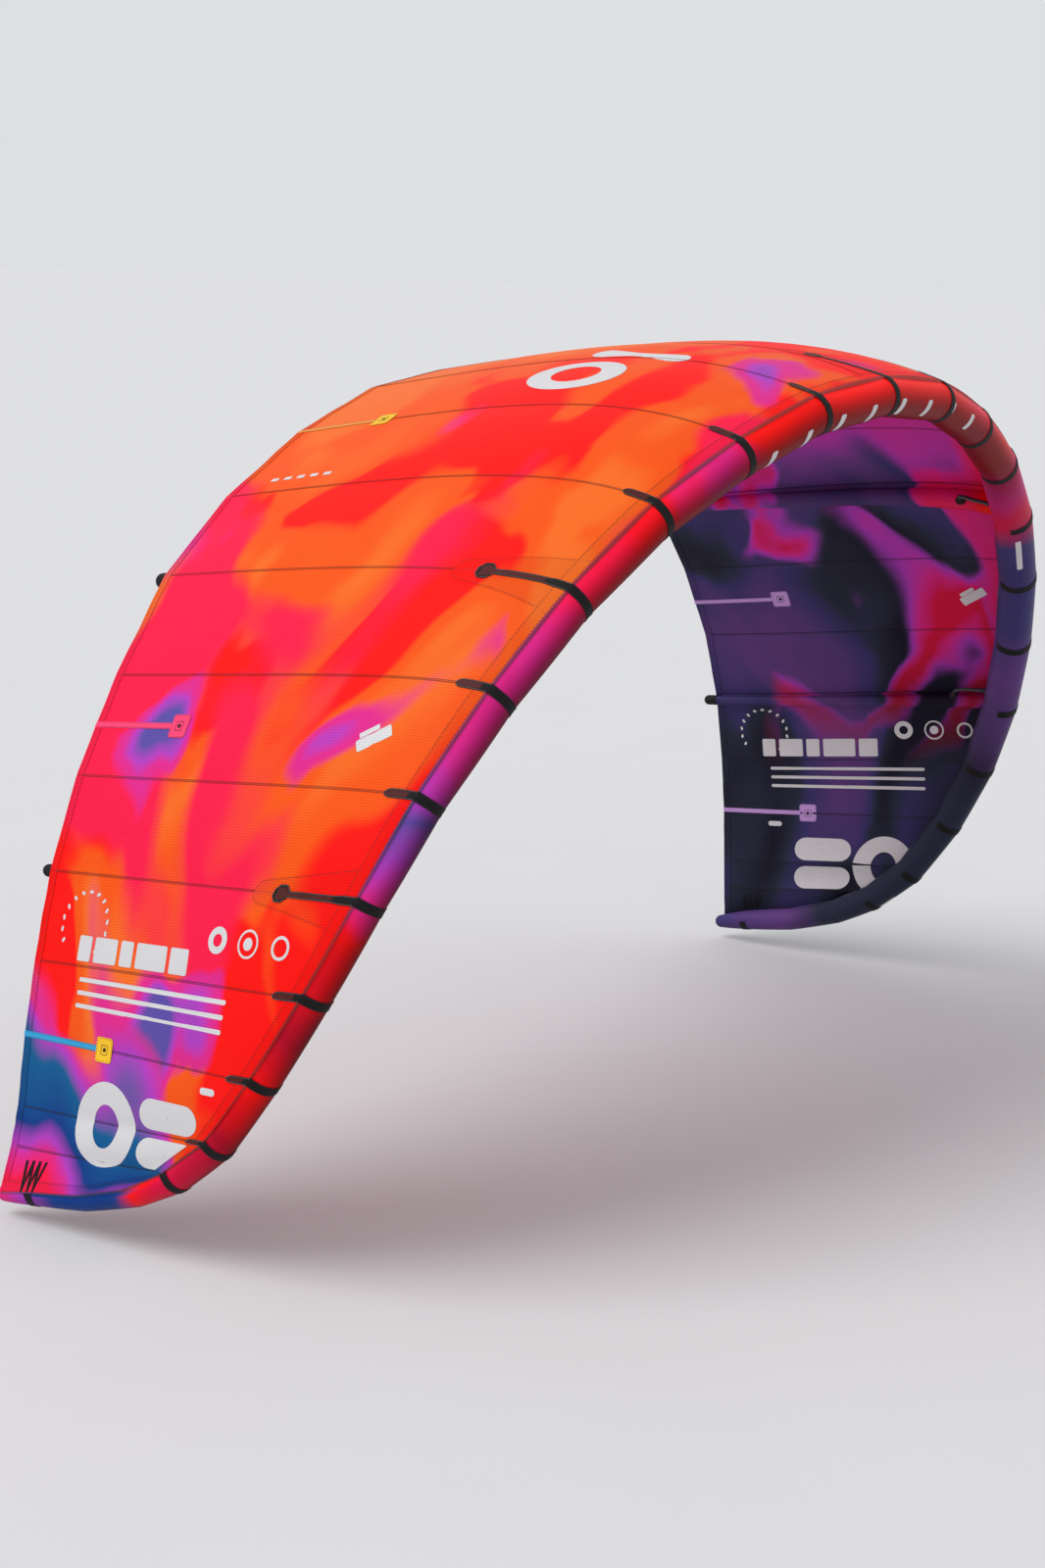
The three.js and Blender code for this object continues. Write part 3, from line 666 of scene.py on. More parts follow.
def dark_clouds(t, places, across, share):
    shade = t.fac(places[4], 1.4, 2.0, 0.5)
    dark = t.ramp(shade, [(0.38, NIGHT), (0.47, SLATE), (0.53, DUSK), (0.66, PLUM)])
    # bright veins follow the level lines of a noise, and fade out towards the right tip
    vein = t.math("ABSOLUTE", t.math("SUBTRACT", t.fac(places[5], 1.1, 1.5, 0.45), 0.5))
    veins = [(0.08, CRIMSON), (0.2, MAGENTA), (0.32, VIOLET), (0.45, PLUM)]
    line = t.ramp(t.math("MULTIPLY", vein, 10), veins)
    rare = t.math("MULTIPLY", t.step(t.fac(places[6], 0.9, 1.0), 0.42, 0.52), t.step(across, 8.2, 5.8))
    dark = t.mix(t.math("MULTIPLY", t.step(vein, 0.05, 0.028), rare), dark, line)
    # magenta and violet near mid span
    top = t.math("MULTIPLY_ADD", t.fac(places[2], 1.7, 1.5), 4.0, t.math("MULTIPLY", across, -1.0))
    glow = t.ramp(t.math("MULTIPLY_ADD", top, 0.2, 0.6), [(0.2, VIOLET), (0.6, MAGENTA)])
    dark = t.mix(t.step(top, -2.3, -1.2), dark, glow)
    # red along the front edge
    fore = t.math("MULTIPLY_ADD", share, -0.8, 0.06)
    fore = t.math("MULTIPLY_ADD", t.fac(places[1], 1.7, 1.5), 0.5, fore)
    fore = t.math("MULTIPLY_ADD", t.math("ABSOLUTE", t.math("SUBTRACT", across, 4.0)), -0.07, fore)
    edge = t.ramp(t.math("ADD", fore, 0.4), [(0.4, VIOLET), (0.44, MAGENTA), (0.53, RED)])
    return t.mix(t.step(fore, 0.0, 0.04), dark, edge)


def cloud_print(inside):
    """The dye as seen on the outer or on the inner face, where the dark half reaches further over."""
    group, t = new_group("cloud_print_inside" if inside else "cloud_print", {"Color": "NodeSocketColor"})
    across, share = t.split(t.map("place"))
    places = bent_places(t, 7)
    warm, dark = warm_clouds(t, places, across, share), dark_clouds(t, places, across, share)
    start = 0.4 if inside else 3.0
    over = t.math("MULTIPLY_ADD", t.fac(places[3], 1.4, 1.5), 3.0, across)
    t.node("NodeGroupOutput", {"Color": t.mix(t.step(over, start, start + 0.8), warm, dark)})
    return group


CLOUDS = {inside: cloud_print(inside) for inside in (False, True)}

# %% [markdown]
# Ripstop cloth has a thicker thread every six or seven millimetres both ways, which keeps a tear
# from running. It shows as a fine grid of slightly darker, slightly raised lines. The grid
# comes from the metre map too: a saw-tooth every cell, cut so that only its tip is left.

# %% The ripstop grid
RIPSTOP_CELL = 0.0068


def ripstop_group():
    group, t = new_group("ripstop", {"Line": "NodeSocketFloat"})
    u, v = t.split(t.map("cloth"))
    lines = []
    for way, depth in ((u, 1.0), (v, 0.35)):
        saw = t.math("PINGPONG", way, RIPSTOP_CELL / 2)
        lines.append(t.math("MULTIPLY", t.step(saw, RIPSTOP_CELL * 0.16, RIPSTOP_CELL * 0.05), depth))
    grid = t.math("MAXIMUM", lines[0], lines[1])
    t.node("NodeGroupOutput", {"Line": grid})
    return group


RIPSTOP = ripstop_group()


def bump(t, shader, height, distance, strength=0.6):
    made = t.node("ShaderNodeBump", {"Height": height, "Distance": distance, "Strength": strength})
    t.put(shader.inputs["Normal"], made.outputs["Normal"])


def printed_cloth(name, depth, roughness, line_depth=0.3, inside=False):
    """Dyed ripstop; depth under 1 darkens it, as where cloth is sewn double."""
    made, t, shader = new_material(name, Roughness=roughness, Specular_IOR_Level=0.08)
    line = t.group(RIPSTOP)["Line"]
    colour = t.group(CLOUDS[inside])["Color"]
    if depth < 1:
        colour = t.tint(colour, (depth, depth, depth))
    worn = t.math("MULTIPLY", t.fac(t.map("cloth"), 9.0, 3.0), 0.06)
    fade = t.math("ADD", t.math("MULTIPLY", line, line_depth), worn)
    colour = t.mix(fade, colour, t.tint(colour, (0.25, 0.25, 0.3)))
    t.put(shader.inputs["Base Color"], colour)
    bump(t, shader, line, 0.0004)
    return made


def both_faces(name, depth, roughness):
    """The cloth for the outer face, 1, and for the inner face, -1."""
    return {
        1: printed_cloth(f"{name}_cloth", depth, roughness),
        -1: printed_cloth(f"{name}_lining", depth, roughness, inside=True),
    }


CANOPY_CLOTH = both_faces("canopy", 1.0, 0.5)
SEAM_CLOTH = both_faces("seam", 0.7, 0.55)
PATCH_CLOTH = both_faces("patch", 0.9, 0.55)
STRUT_CLOTH = printed_cloth("strut_cloth", 0.8, 0.42, 0.05, inside=True)
print("printed cloths:", [m.name for m in bpy.data.materials if "cloth" in m.name or "lining" in m.name])

# %% [markdown]
# The front tube is made of a heavier, closer polyester than the canopy, with a soft satin shine.
# Its dye goes through its colours along the tube, so a colour ramp follows the map that counts
# seams, and a noise pushes the borders of the colours about. Painted shade darkens its hollow side.

# %% The tube's cloth
TUBE_COLOURS = [
    # seams from mid span, colour of the dye
    (-15, MAGENTA), (-14.4, VIOLET), (-13.8, DEEP_BLUE), (-12.2, DEEP_BLUE), (-11.7, RED), (-11.1, CRIMSON),
    (-10, DEEP_RED), (-9.1, RED), (-8.3, DEEP_RED), (-7.4, RED), (-7, MAGENTA), (-6.6, VIOLET),
    (-6.2, INDIGO), (-5.9, VIOLET), (-5.6, MAGENTA), (-4.5, MAGENTA), (-3.8, ROSE), (-2.9, RED),
    (-2.5, MAGENTA), (-1.9, RED), (1.1, RED), (1.7, ROSE), (2.6, RED), (3.4, MAGENTA), (3.9, CRIMSON),
    (4.3, DUSK), (5.6, DUSK), (6.6, PLUM), (8.2, SLATE), (12.2, SLATE), (13.2, PLUM), (15, DUSK),
]
# the angle round the tube where the painted shade is darkest
PAINTED_SHADE_ANGLE = math.radians(207)


def tube_stops(depth=1.0):
    """The tube's colours as stops of a ramp that runs from the left tip to the right one."""
    return [((at + LAST) / (2 * LAST), tuple(c * depth for c in colour)) for at, colour in TUBE_COLOURS]


def tube_cloth():
    made, t, shader = new_material("tube_cloth", Roughness=0.4, Specular_IOR_Level=0.07)
    cloth = t.map("cloth")
    along, angle = t.split(t.map("place"))
    pushed = t.math("MULTIPLY_ADD", t.fac(t.scale(cloth, 1.0), 3.2, 2.0), 1.6, along)
    position = t.math("MULTIPLY_ADD", pushed, 1 / (2 * LAST), 0.5 - 0.8 / (2 * LAST))
    colour = t.ramp(position, tube_stops())
    blot = t.step(t.fac(cloth, 2.1, 1.0), 0.5, 0.7)
    colour = t.mix(t.math("MULTIPLY", blot, 0.5), colour, t.tint(colour, (0.75, 0.35, 0.6)))
    # painted shade: the colour is darkened round the tube's hollow side, on the warm part of the span
    under = t.math("COSINE", t.math("ADD", angle, -PAINTED_SHADE_ANGLE))
    warm_part = t.math("MULTIPLY", t.step(along, 4.4, 2.6), 0.94)
    # how much painted shade each point gets, mixed towards a deep red-black below
    share = t.math("MULTIPLY", t.step(under, -0.5, 0.9), warm_part)
    colour = t.mix(share, colour, t.tint(colour, (0.14, 0.01, 0.05)))
    t.put(shader.inputs["Base Color"], colour)
    weave = t.node("ShaderNodeTexWave", {"Vector": cloth, "Scale": 160.0, "Distortion": 0.4}).outputs["Fac"]
    bump(t, shader, weave, 0.0002, 0.3)
    return made


TUBE_CLOTH = tube_cloth()
print("colours along the tube:", len(TUBE_COLOURS))

# %% [markdown]
# The rest are small finishes. Seam tape is black woven polyester. Beyond the tube the tape is
# slightly sheer inside its black edges, so the dye glows through as a dark brown-red. Hoses are
# satin rubber, the webbing is coarse, and each batten patch has one plain bright colour.

# %% Tapes, rubber, webbing, batten cloth and thread
def woven(name, colour, roughness, cell, depth=0.35, **more):
    """Plain woven cloth of one dye, with threads of this size across and along."""
    made, t, shader = new_material(name, Roughness=roughness, Specular_IOR_Level=0.14, **more)
    cloth = t.map("cloth")
    across, along = t.split(cloth)
    threads = [t.math("SINE", t.math("MULTIPLY", way, math.tau / cell)) for way in (across, along)]
    weave = t.math("MULTIPLY_ADD", t.math("MULTIPLY", *threads), 0.5, 0.5)
    uneven = t.fac(cloth, 25.0, 3.0)
    shade = t.math("MULTIPLY_ADD", weave, depth * 0.5, t.math("MULTIPLY", uneven, depth * 0.5))
    dark = tuple(channel * 0.45 for channel in colour)
    t.put(shader.inputs["Base Color"], t.mix(shade, colour, dark))
    bump(t, shader, weave, 0.0002, 0.5)
    return made, t, shader


TAPE = woven("seam_tape", (0.0085, 0.0072, 0.0078), 0.55, 0.0016)[0]
SLEEVE = woven("end_sleeve", (0.012, 0.0105, 0.012), 0.6, 0.0018)[0]
WEBBING = woven("webbing", (0.01, 0.009, 0.011), 0.7, 0.0022, 0.5)[0]
SHEER = woven("tape_sheer", (0.075, 0.011, 0.01), 0.5, 0.0016)[0]
BATTEN_CLOTHS = {
    name: woven(f"batten_cloth_{name}", colour, 0.5, 0.002, 0.2)[0]
    for name, colour in {
        "yellow": (0.86, 0.5, 0.02), "rose": (0.86, 0.05, 0.16), "blue": (0.03, 0.32, 0.6),
        "lilac": (0.52, 0.3, 0.66), "amber": (0.8, 0.3, 0.06),
    }.items()
}


def thread(name, colour):
    made, t, shader = new_material(name, Roughness=0.6)
    twist = t.fac(t.node("ShaderNodeTexCoord").outputs["Object"], 400.0, 2.0)
    t.put(shader.inputs["Base Color"], t.mix(twist, colour, tuple(channel * 0.5 for channel in colour)))
    return made


def rubber():
    made, t, shader = new_material("hose_rubber", Roughness=0.4, Specular_IOR_Level=0.45)
    place = t.node("ShaderNodeTexCoord").outputs["Object"]
    mottle = t.fac(place, 60.0, 3.0)
    t.put(shader.inputs["Base Color"], t.mix(mottle, (0.012, 0.012, 0.013), (0.022, 0.021, 0.022)))
    bump(t, shader, mottle, 0.0003, 0.3)
    return made


def ink():
    """Light-grey print on the cloth; the ripstop grid shows through it."""
    made, t, shader = new_material("grey_ink", Roughness=0.5)
    line = t.group(RIPSTOP)["Line"]
    patchy = t.math("MULTIPLY", t.fac(t.map("cloth"), 14.0, 2.0), 0.2)
    thin = t.math("MULTIPLY_ADD", line, 0.35, patchy)
    t.put(shader.inputs["Base Color"], t.mix(thin, (0.62, 0.61, 0.62), (0.4, 0.4, 0.43)))
    bump(t, shader, line, 0.0004)
    return made


def joint_cloth():
    """The tube's own dye, darker, for the strip along its joint with the canopy."""
    made, t, shader = new_material("joint_cloth", Roughness=0.5)
    along, _ = t.split(t.map("place"))
    position = t.math("MULTIPLY_ADD", along, 1 / (2 * LAST), 0.5)
    t.put(shader.inputs["Base Color"], t.ramp(position, tube_stops(0.4)))
    bump(t, shader, t.fac(t.map("cloth"), 90.0, 2.0), 0.0003, 0.3)
    return made


RUBBER, INK, JOINT_CLOTH = rubber(), ink(), joint_cloth()
THREAD = thread("thread_black", (0.03, 0.022, 0.024))
PALE_THREAD = thread("thread_grey", (0.34, 0.3, 0.3))
print(len(bpy.data.materials), "materials")

# %% [markdown]
# The canopy is one continuous sheet. Its grid is closer near each rib, where seams and puckers need
# it, and near the tube. It is drawn from the surface rule above, so it meets the front tube
# along the same line as the solid does, and it has real thickness.

# %% The canopy
CANOPY_THICKNESS = 0.5 * MM
PANEL_STEPS = [0, 0.04, 0.1, 0.18, 0.28, 0.39, 0.5, 0.61, 0.72, 0.82, 0.9, 0.96]
CHORD_STEPS = 64


def canopy_rows():
    whole = [panel + step for panel in range(-TIP_EDGE, TIP_EDGE) for step in PANEL_STEPS]
    return np.array(whole + [TIP_EDGE])


def chord_row():
    even = np.linspace(0, 1, CHORD_STEPS + 1)
    return 0.55 * even + 0.45 * even**2


canopy = Bodies()
canopy.lay(*mesh_grid(canopy_rows(), chord_row()), 0.0, CANOPY_THICKNESS)
canopy = canopy.build("canopy_sheet", CANOPY_CLOTH[1])
canopy.data.materials.append(CANOPY_CLOTH[-1])
of_one_face = (len(canopy_rows()) - 1) * CHORD_STEPS
for polygon in canopy.data.polygons[of_one_face:2 * of_one_face]:
    polygon.material_index = 1
print("canopy faces:", len(canopy.data.polygons))

# %% [markdown]
# The front tube holds the kite open. It is lofted ring by ring from the section rule: ten rings
# to each cone panel, drawn in slightly at the seams, and rounded ends. Small creases stand
# on its hollow side next to the seams, where the bend leaves spare cloth.

# %% The front tube
TUBE_SIDES = 72
TUBE_RINGS = 10
TUBE_CREASE = 1.0 * MM
TUBE_LENGTHS = run_length(F["centre"])
TUBE_LENGTHS = TUBE_LENGTHS - TUBE_LENGTHS[LAST]


def tube_crease(along, angle):
    near_seam = np.abs(along - np.round(along))
    hollow_side = np.clip(-np.cos(angle), 0, 1) ** 2
    return TUBE_CREASE * hollow_side * np.exp(-near_seam / 0.12) * np.sin(7 * angle + 2.3 * np.round(along))


def tube_map(along, angle):
    sections = np.arange(COUNT)
    length = np.interp(along + LAST, sections, TUBE_LENGTHS)
    return np.stack([length, angle * np.interp(along + LAST, sections, F["radius"])], axis=-1)


def loft_faces(rows, columns):
    """A row of rings whose last point repeats the first, closed by a face at each end."""
    faces = grid_faces(rows, columns)
    faces.append(tuple(range(columns - 1)))
    faces.append(tuple((rows - 1) * columns + j for j in range(columns - 2, -1, -1)))
    return faces


DOME_TURNS = np.radians([18, 36, 54, 70, 83])


def rounded_end(ring, hub, ahead):
    """Rings that close a tube with a dome; ahead is the dome's depth and direction."""
    return np.stack([hub + (ring - hub) * math.cos(a) + ahead * math.sin(a) for a in DOME_TURNS])


def front_tube():
    along = np.linspace(-LAST, LAST, 2 * LAST * TUBE_RINGS + 1)
    grid_along, grid_angle = mesh_grid(along, np.linspace(0, math.tau, TUBE_SIDES + 1))
    flat = grid_along.ravel(), grid_angle.ravel()
    rings = tube_point(*flat, tube_crease(*flat)).reshape(*grid_along.shape, 3)
    cloth = tube_map(grid_along, grid_angle)
    place = np.stack([grid_along, grid_angle], axis=-1)
    heads = rounded_end(rings[0], F["centre"][0], -F["run"][0] * F["radius"][0])[::-1]
    tails = rounded_end(rings[-1], F["centre"][-1], F["run"][-1] * F["radius"][-1])
    rings = np.concatenate([heads, rings, tails])
    domes = ((len(DOME_TURNS), len(DOME_TURNS)), (0, 0), (0, 0))
    cloth, place = (np.pad(a, domes, mode="edge") for a in (cloth, place))
    return add_mesh(
        "front_tube", rings.reshape(-1, 3), loft_faces(*rings.shape[:2]), TUBE_CLOTH,
        cloth.reshape(-1, 2), place.reshape(-1, 2), weld=True,
    )


tube = front_tube()
print("front tube length along its axis:", round(float(TUBE_LENGTHS[-1] - TUBE_LENGTHS[0]), 2), "m")

# %% [markdown]
# On the canopy lie thin strips and patches: a narrow fell over each panel seam, a doubled band
# next to the tube, the strip that joins canopy and tube, the folded hem, and a rounded patch where
# each strut starts. They are laid on the surface at slightly different heights, in the order in
# which a sailmaker sews them on, so that no two share the same space. These helpers find places.

# %% Places beside a seam and beside the tube
# heights over the canopy's middle surface, from the lowest to the highest
SEAM_LIFT, PATCH_LIFT, BAND_LIFT, STRIP_LIFT, TAPE_LIFT = (h * MM for h in (0.55, 1.05, 1.5, 1.95, 2.7))
SEAM_THICK, THIN = 0.5 * MM, 0.35 * MM


def per_metre(x, share):
    """How many ribs one metre across is, at a place on the canopy."""
    x, share = np.broadcast_arrays(np.atleast_1d(x).astype(float), share)
    step = np.where(x > 0, -0.1, 0.1)
    gap = np.linalg.norm(skin_base(x + step, share) - skin_base(x, share), axis=1)
    return 0.1 / np.maximum(gap, 0.006)


def share_from_tube(x, distance):
    """Chord share at a distance in metres from the canopy's front edge."""
    x, distance = np.broadcast_arrays(np.atleast_1d(x).astype(float), distance)
    u = np.interp(x, MAP_X, MAP_U)
    whole = np.interp(x, MAP_X, MAP_V[:, 0])
    return cloth_place(u, whole - distance)[1]


def share_from_edge(x, distance):
    """Chord share at a distance in metres from the trailing edge."""
    x, distance = np.broadcast_arrays(np.atleast_1d(x).astype(float), distance)
    return cloth_place(np.interp(x, MAP_X, MAP_U), distance)[1]


def beside_tube(along, distance):
    """The place on the canopy at a distance from its sewn edge, beside the tube at along."""
    along, distance = np.broadcast_arrays(np.atleast_1d(along).astype(float), distance)
    main = np.clip(along, -RIBS, RIBS)
    share = share_from_tube(main, distance)
    x = main.copy()
    tip = np.abs(along) > RIBS
    side = np.sign(along[tip])
    share[tip] = np.interp(np.abs(along[tip]), np.arange(RIBS, LAST + 1), TIP_SHARES)
    edge = side * (TIP_EDGE - 0.001)
    x[tip] = side * TIP_EDGE - side * distance[tip] * per_metre(edge, share[tip])
    return x, share


def strip_on_rib(bodies, rib, share, half_width, lift, thickness, columns=3):
    """A strip along a rib; share and half_width are rows of the same length."""
    rows, side = mesh_grid(share, np.linspace(-1, 1, columns))
    offset = side * np.asarray(half_width)[:, None] * per_metre(rib, share)[:, None]
    bodies.lay(np.clip(rib + offset, -TIP_EDGE, TIP_EDGE), rows, lift, thickness)


lifts = (SEAM_LIFT, PATCH_LIFT, BAND_LIFT, STRIP_LIFT, TAPE_LIFT)
print("heights in mm:", [round(lift / MM, 2) for lift in lifts])

# %% [markdown]
# Each panel seam is a narrow strip along its rib. The band runs beside the tube in three spans,
# because the canopy's edge turns at the last ribs. The hem is one strip that goes round the
# trailing edge, so its grid is the upper leaf, the fold and the lower leaf in a row.

# %% Panel seams, front band and hem
SEAM_WIDTH = 8 * MM
SEAM_STEPS = 70
BAND_WIDTH = 38 * MM
BAND_STEPS, TIP_BAND_STEPS = 320, 40
HEM_WIDTH = 26 * MM
FACES = {"outside": 1, "inside": -1}


def panel_seams(title, face):
    bodies = Bodies()
    for rib in range(-RIBS, RIBS + 1):
        front, back = share_from_tube(rib, 4 * MM)[0], share_from_edge(rib, 2 * MM)[0]
        share = np.linspace(float(front), float(back), SEAM_STEPS)
        half_width = np.full(SEAM_STEPS, SEAM_WIDTH / 2)
        strip_on_rib(bodies, rib, share, half_width, face * SEAM_LIFT, SEAM_THICK)
    bodies.build(f"panel_seams_{title}", SEAM_CLOTH[face])


def band_spans(gap, end):
    """From and to along the tube, and steps: the main span, and the run to each tip."""
    return [
        (-RIBS, RIBS, BAND_STEPS), (RIBS + gap, LAST - end, TIP_BAND_STEPS),
        (-LAST + end, -RIBS - gap, TIP_BAND_STEPS),
    ]


def front_band(title, face):
    bodies = Bodies()
    for low, high, count in band_spans(0.12, 0.05):
        along, distance = mesh_grid(np.linspace(low, high, count), np.linspace(3 * MM, BAND_WIDTH, 4))
        x, share = beside_tube(along.ravel(), distance.ravel())
        bodies.lay(x.reshape(along.shape), share.reshape(along.shape), face * BAND_LIFT, THIN)
    bodies.build(f"front_band_{title}", PATCH_CLOTH[face])


def edge_fold(x, corners, height_unit):
    """Rows of points round the trailing edge; corners are (millimetres past it, height)."""
    edge = skin(x, 1.0)
    back = unit(edge - skin(x, 0.985))
    up = skin_normal(x, np.ones(len(x)))
    return [edge + back * ahead * MM + up * height * height_unit for ahead, height in corners]


def folded_hem():
    rows = np.linspace(-TIP_EDGE + 0.02, TIP_EDGE - 0.02, 340)
    columns = np.array([HEM_WIDTH, 0.017, 0.009, 0.002])
    x, distance = mesh_grid(rows, columns)
    share = share_from_edge(x.ravel(), distance.ravel()).reshape(x.shape)
    leaf = {face: skin_grid(x, share, face * SEAM_LIFT * 2) for face in (1, -1)}
    fold = edge_fold(rows, ((1.2, 0.7), (1.6, 0), (1.2, -0.7)), SEAM_LIFT * 2)
    middle = np.concatenate([leaf[1], np.stack(fold, axis=1), leaf[-1][:, ::-1]], axis=1)
    body = sheet_body(middle, grid_normal(middle), THIN)
    v = np.concatenate([columns, [0, 0, 0], columns[::-1]])
    u = np.interp(rows, MAP_X, MAP_U)
    cloth = np.stack(mesh_grid(u, v), axis=-1).reshape(-1, 2)
    place = np.stack(mesh_grid(rows, 1 - v / 1.4), axis=-1).reshape(-1, 2)
    add_mesh("folded_hem", *body, PATCH_CLOTH[1], both(cloth), both(place))


for title, face in FACES.items():
    panel_seams(title, face)
    front_band(title, face)
folded_hem()
print("pieces so far:", len(PIECES))

# %% [markdown]
# The strip along the joint wraps the last of the tube's skin and the first of the canopy. It closes
# the gap between the two, and draws the dark line that follows the tube in every view.

# %% The joint strip
STRIP_ON_TUBE = (math.radians(-3.6), math.radians(-2.2), math.radians(-0.8))
STRIP_ON_CANOPY = (0.001, 0.003)


def joint_strip():
    tip = np.linspace(RIBS + 0.05, LAST - 0.03, 48)
    rows = np.concatenate([-tip[::-1], np.linspace(-RIBS, RIBS, BAND_STEPS), tip])
    join = join_angle(rows)
    heights = (0.5 * MM, 1.2 * MM, 2.7 * MM)
    columns = [tube_point(rows, join + turn, height) for turn, height in zip(STRIP_ON_TUBE, heights)]
    columns += [skin(*beside_tube(rows, distance), STRIP_LIFT) for distance in STRIP_ON_CANOPY]
    middle = np.stack(columns, axis=1)
    body = sheet_body(middle, grid_normal(middle), THIN)
    cloth = [tube_map(rows, join + turn) for turn in (*STRIP_ON_TUBE, 0, 0.1)]
    cloth = np.stack(cloth, axis=1).reshape(-1, 2)
    place = np.stack([np.stack([rows, join], axis=1)] * len(columns), axis=1).reshape(-1, 2)
    add_mesh("joint_strip", *body, JOINT_CLOTH, both(cloth), both(place))


joint_strip()
print("joint strip from", -LAST, "to", LAST, "along the tube")

# %% [markdown]
# Where a strut starts, its pull is spread by a patch: a triangle of the same cloth with rounded
# sides, wide at the tube and blunt at its nose. It is given as half widths at distances from the
# tube, so that one strip helper lays it as it lays a seam. Both faces have one.

# %% Patches at the front of the struts
STRUTS = {
    # rib, radius at the front, radius at the rear
    "outer_left": (-7, 29 * MM, 16 * MM),
    "inner_left": (-4, 38 * MM, 21 * MM),
    "centre": (0, 41 * MM, 23 * MM),
    "inner_right": (4, 38 * MM, 21 * MM),
    "outer_right": (7, 29 * MM, 16 * MM),
}
PATCH_LENGTH, PATCH_FRONT, PATCH_NOSE = 0.335, 0.1, 0.036


def patch_rows():
    """Distances from the tube and half widths of the rounded triangle."""
    straight = np.linspace(0.012, PATCH_LENGTH - PATCH_NOSE, 16)
    ease = 1 - (straight / straight[-1]) ** 0.75
    turn = np.radians(np.linspace(10, 84, 7))
    distance = np.r_[straight, PATCH_LENGTH - PATCH_NOSE + PATCH_NOSE * np.sin(turn)]
    half = np.r_[PATCH_NOSE + (PATCH_FRONT - PATCH_NOSE) * ease, PATCH_NOSE * np.cos(turn)]
    return distance, half


def strut_patch(rib, inset=0.0):
    """Chord shares and half widths of a strut's patch, drawn in by the inset."""
    distance, half = patch_rows()
    share = share_from_tube(rib, distance)
    return share, np.maximum(half - inset, 0.002)


for title, face in FACES.items():
    bodies = Bodies()
    for rib, *_ in STRUTS.values():
        strip_on_rib(bodies, rib, *strut_patch(rib), face * PATCH_LIFT, THIN, 9)
    bodies.build(f"strut_patches_{title}", PATCH_CLOTH[face])
print("strut patches:", 2 * len(STRUTS))

# %% [markdown]
# A black tape covers each seam of the front tube. It goes round the front and the underside, over
# the canopy's edge, and ends in a tail on the canopy. Tapes over a strut have a long narrow
# tail with a six-sided patch at its end. Each tail has a slightly sheer window inside its
# black border. The widths are a short profile along the tail, and the rest follows the surface.

# %% Seam tapes
TAPE_WIDTH, TAPE_THICK = 26 * MM, 0.8 * MM
TAPE_WRAP, TAPE_WRAP_AT_STRUT = math.radians(192), math.radians(140)
TAIL, STRUT_TAIL = 88 * MM, 262 * MM
SHORT_TAILS = {9: 74 * MM, 10: 62 * MM, 11: 0.0, 14: 0.0}
# share of the tail's length, half width in millimetres
PLAIN_PROFILE = [(0.06, 13), (0.5, 13), (0.8, 12.4), (0.9, 10.8), (0.96, 7.8), (0.99, 4.2), (1, 2)]
STRUT_PROFILE = [
    (0.02, 13), (0.15, 13), (0.24, 10.4), (0.45, 10), (0.65, 10), (0.795, 9), (0.8, 11), (0.855, 25),
    (0.945, 25), (0.995, 12), (1, 10),
]
TAPE_FOOT, TAPE_CROWN = 1.0 * MM, 0.25 * MM
WINDOW_LIFT = TAPE_LIFT + 0.75 * MM


def tail_profile(on_strut, steps):
    """Shares of a tail's length, and its half width at each."""
    shares, widths = np.array(STRUT_PROFILE if on_strut else PLAIN_PROFILE).T
    at = np.unique(np.concatenate([np.linspace(shares[0], 1, steps), shares]))
    return at, np.interp(at, shares, widths) * MM


def tape_height(turned):
    """Height over the tube: low on the skin, and up over the canopy's edge as it gets there."""
    rise = np.clip(1 - turned / math.radians(24), 0, 1)
    return TAPE_FOOT + (TAPE_LIFT + CLOTH_LIFT - TAPE_FOOT) * rise**2 * (3 - 2 * rise)


def tail_length(along):
    return STRUT_TAIL if along in STRUT_SEAMS else SHORT_TAILS.get(abs(along), TAIL)


def seam_tape(along):
    """Grid of points, their normals, the metre map, and the tail's rows (length, share, half width)."""
    side = np.linspace(-1, 1, 7)
    on_strut = along in STRUT_SEAMS
    k = along + LAST
    turned = np.linspace(0, TAPE_WRAP_AT_STRUT if on_strut else TAPE_WRAP, 40)[::-1]
    gap = np.linalg.norm(F["centre"][min(k + 1, COUNT - 1)] - F["centre"][k - 1]) / 2
    turns, sides = mesh_grid(turned, side)
    place = along + sides * TAPE_WIDTH / 2 / gap
    angle = join_angle(place) - turns - math.radians(1.5)
    crown = tape_height(turns) + TAPE_CROWN * (1 - sides**2)
    rows = [tube_point(place.ravel(), angle.ravel(), crown.ravel()).reshape(*turns.shape, 3)]
    length = tail_length(along)
    measure = [-turned * F["radius"][k]]
    tail = None
    if length:
        at, half = tail_profile(on_strut, 48 if on_strut else 22)
        share = share_from_tube(along, at * length)
        shares, sides = mesh_grid(share, side)
        x = along + sides * half[:, None] * per_metre(along, share)[:, None]
        rows.append(skin_grid(x, shares, TAPE_LIFT + TAPE_CROWN * (1 - sides**2)))
        measure.append(at * length)
        tail = (at * length, share, half)
    middle = np.concatenate(rows)
    cloth = np.stack(mesh_grid(np.concatenate(measure), side * TAPE_WIDTH / 2)[::-1], axis=-1)
    return middle, grid_normal(middle), cloth.reshape(-1, 2), tail

# %% [markdown]
# Every numbered seam has a tape, and each tip tube has one more. The lines that its stitches will
# follow are noted while a tape is made, a little over its surface near both edges.

# %% All the tapes
TAPE_SEAMS = [*range(-RIBS, RIBS + 1), -14, 14]
STRUT_SEAMS = [rib for rib, *_ in STRUTS.values()]
TAPE_LINES, WINDOWS = [], Bodies()


def tape_name(along):
    if not along:
        return "centre"
    return f"{'left' if along < 0 else 'right'}_{'tip' if abs(along) > RIBS else abs(along)}"


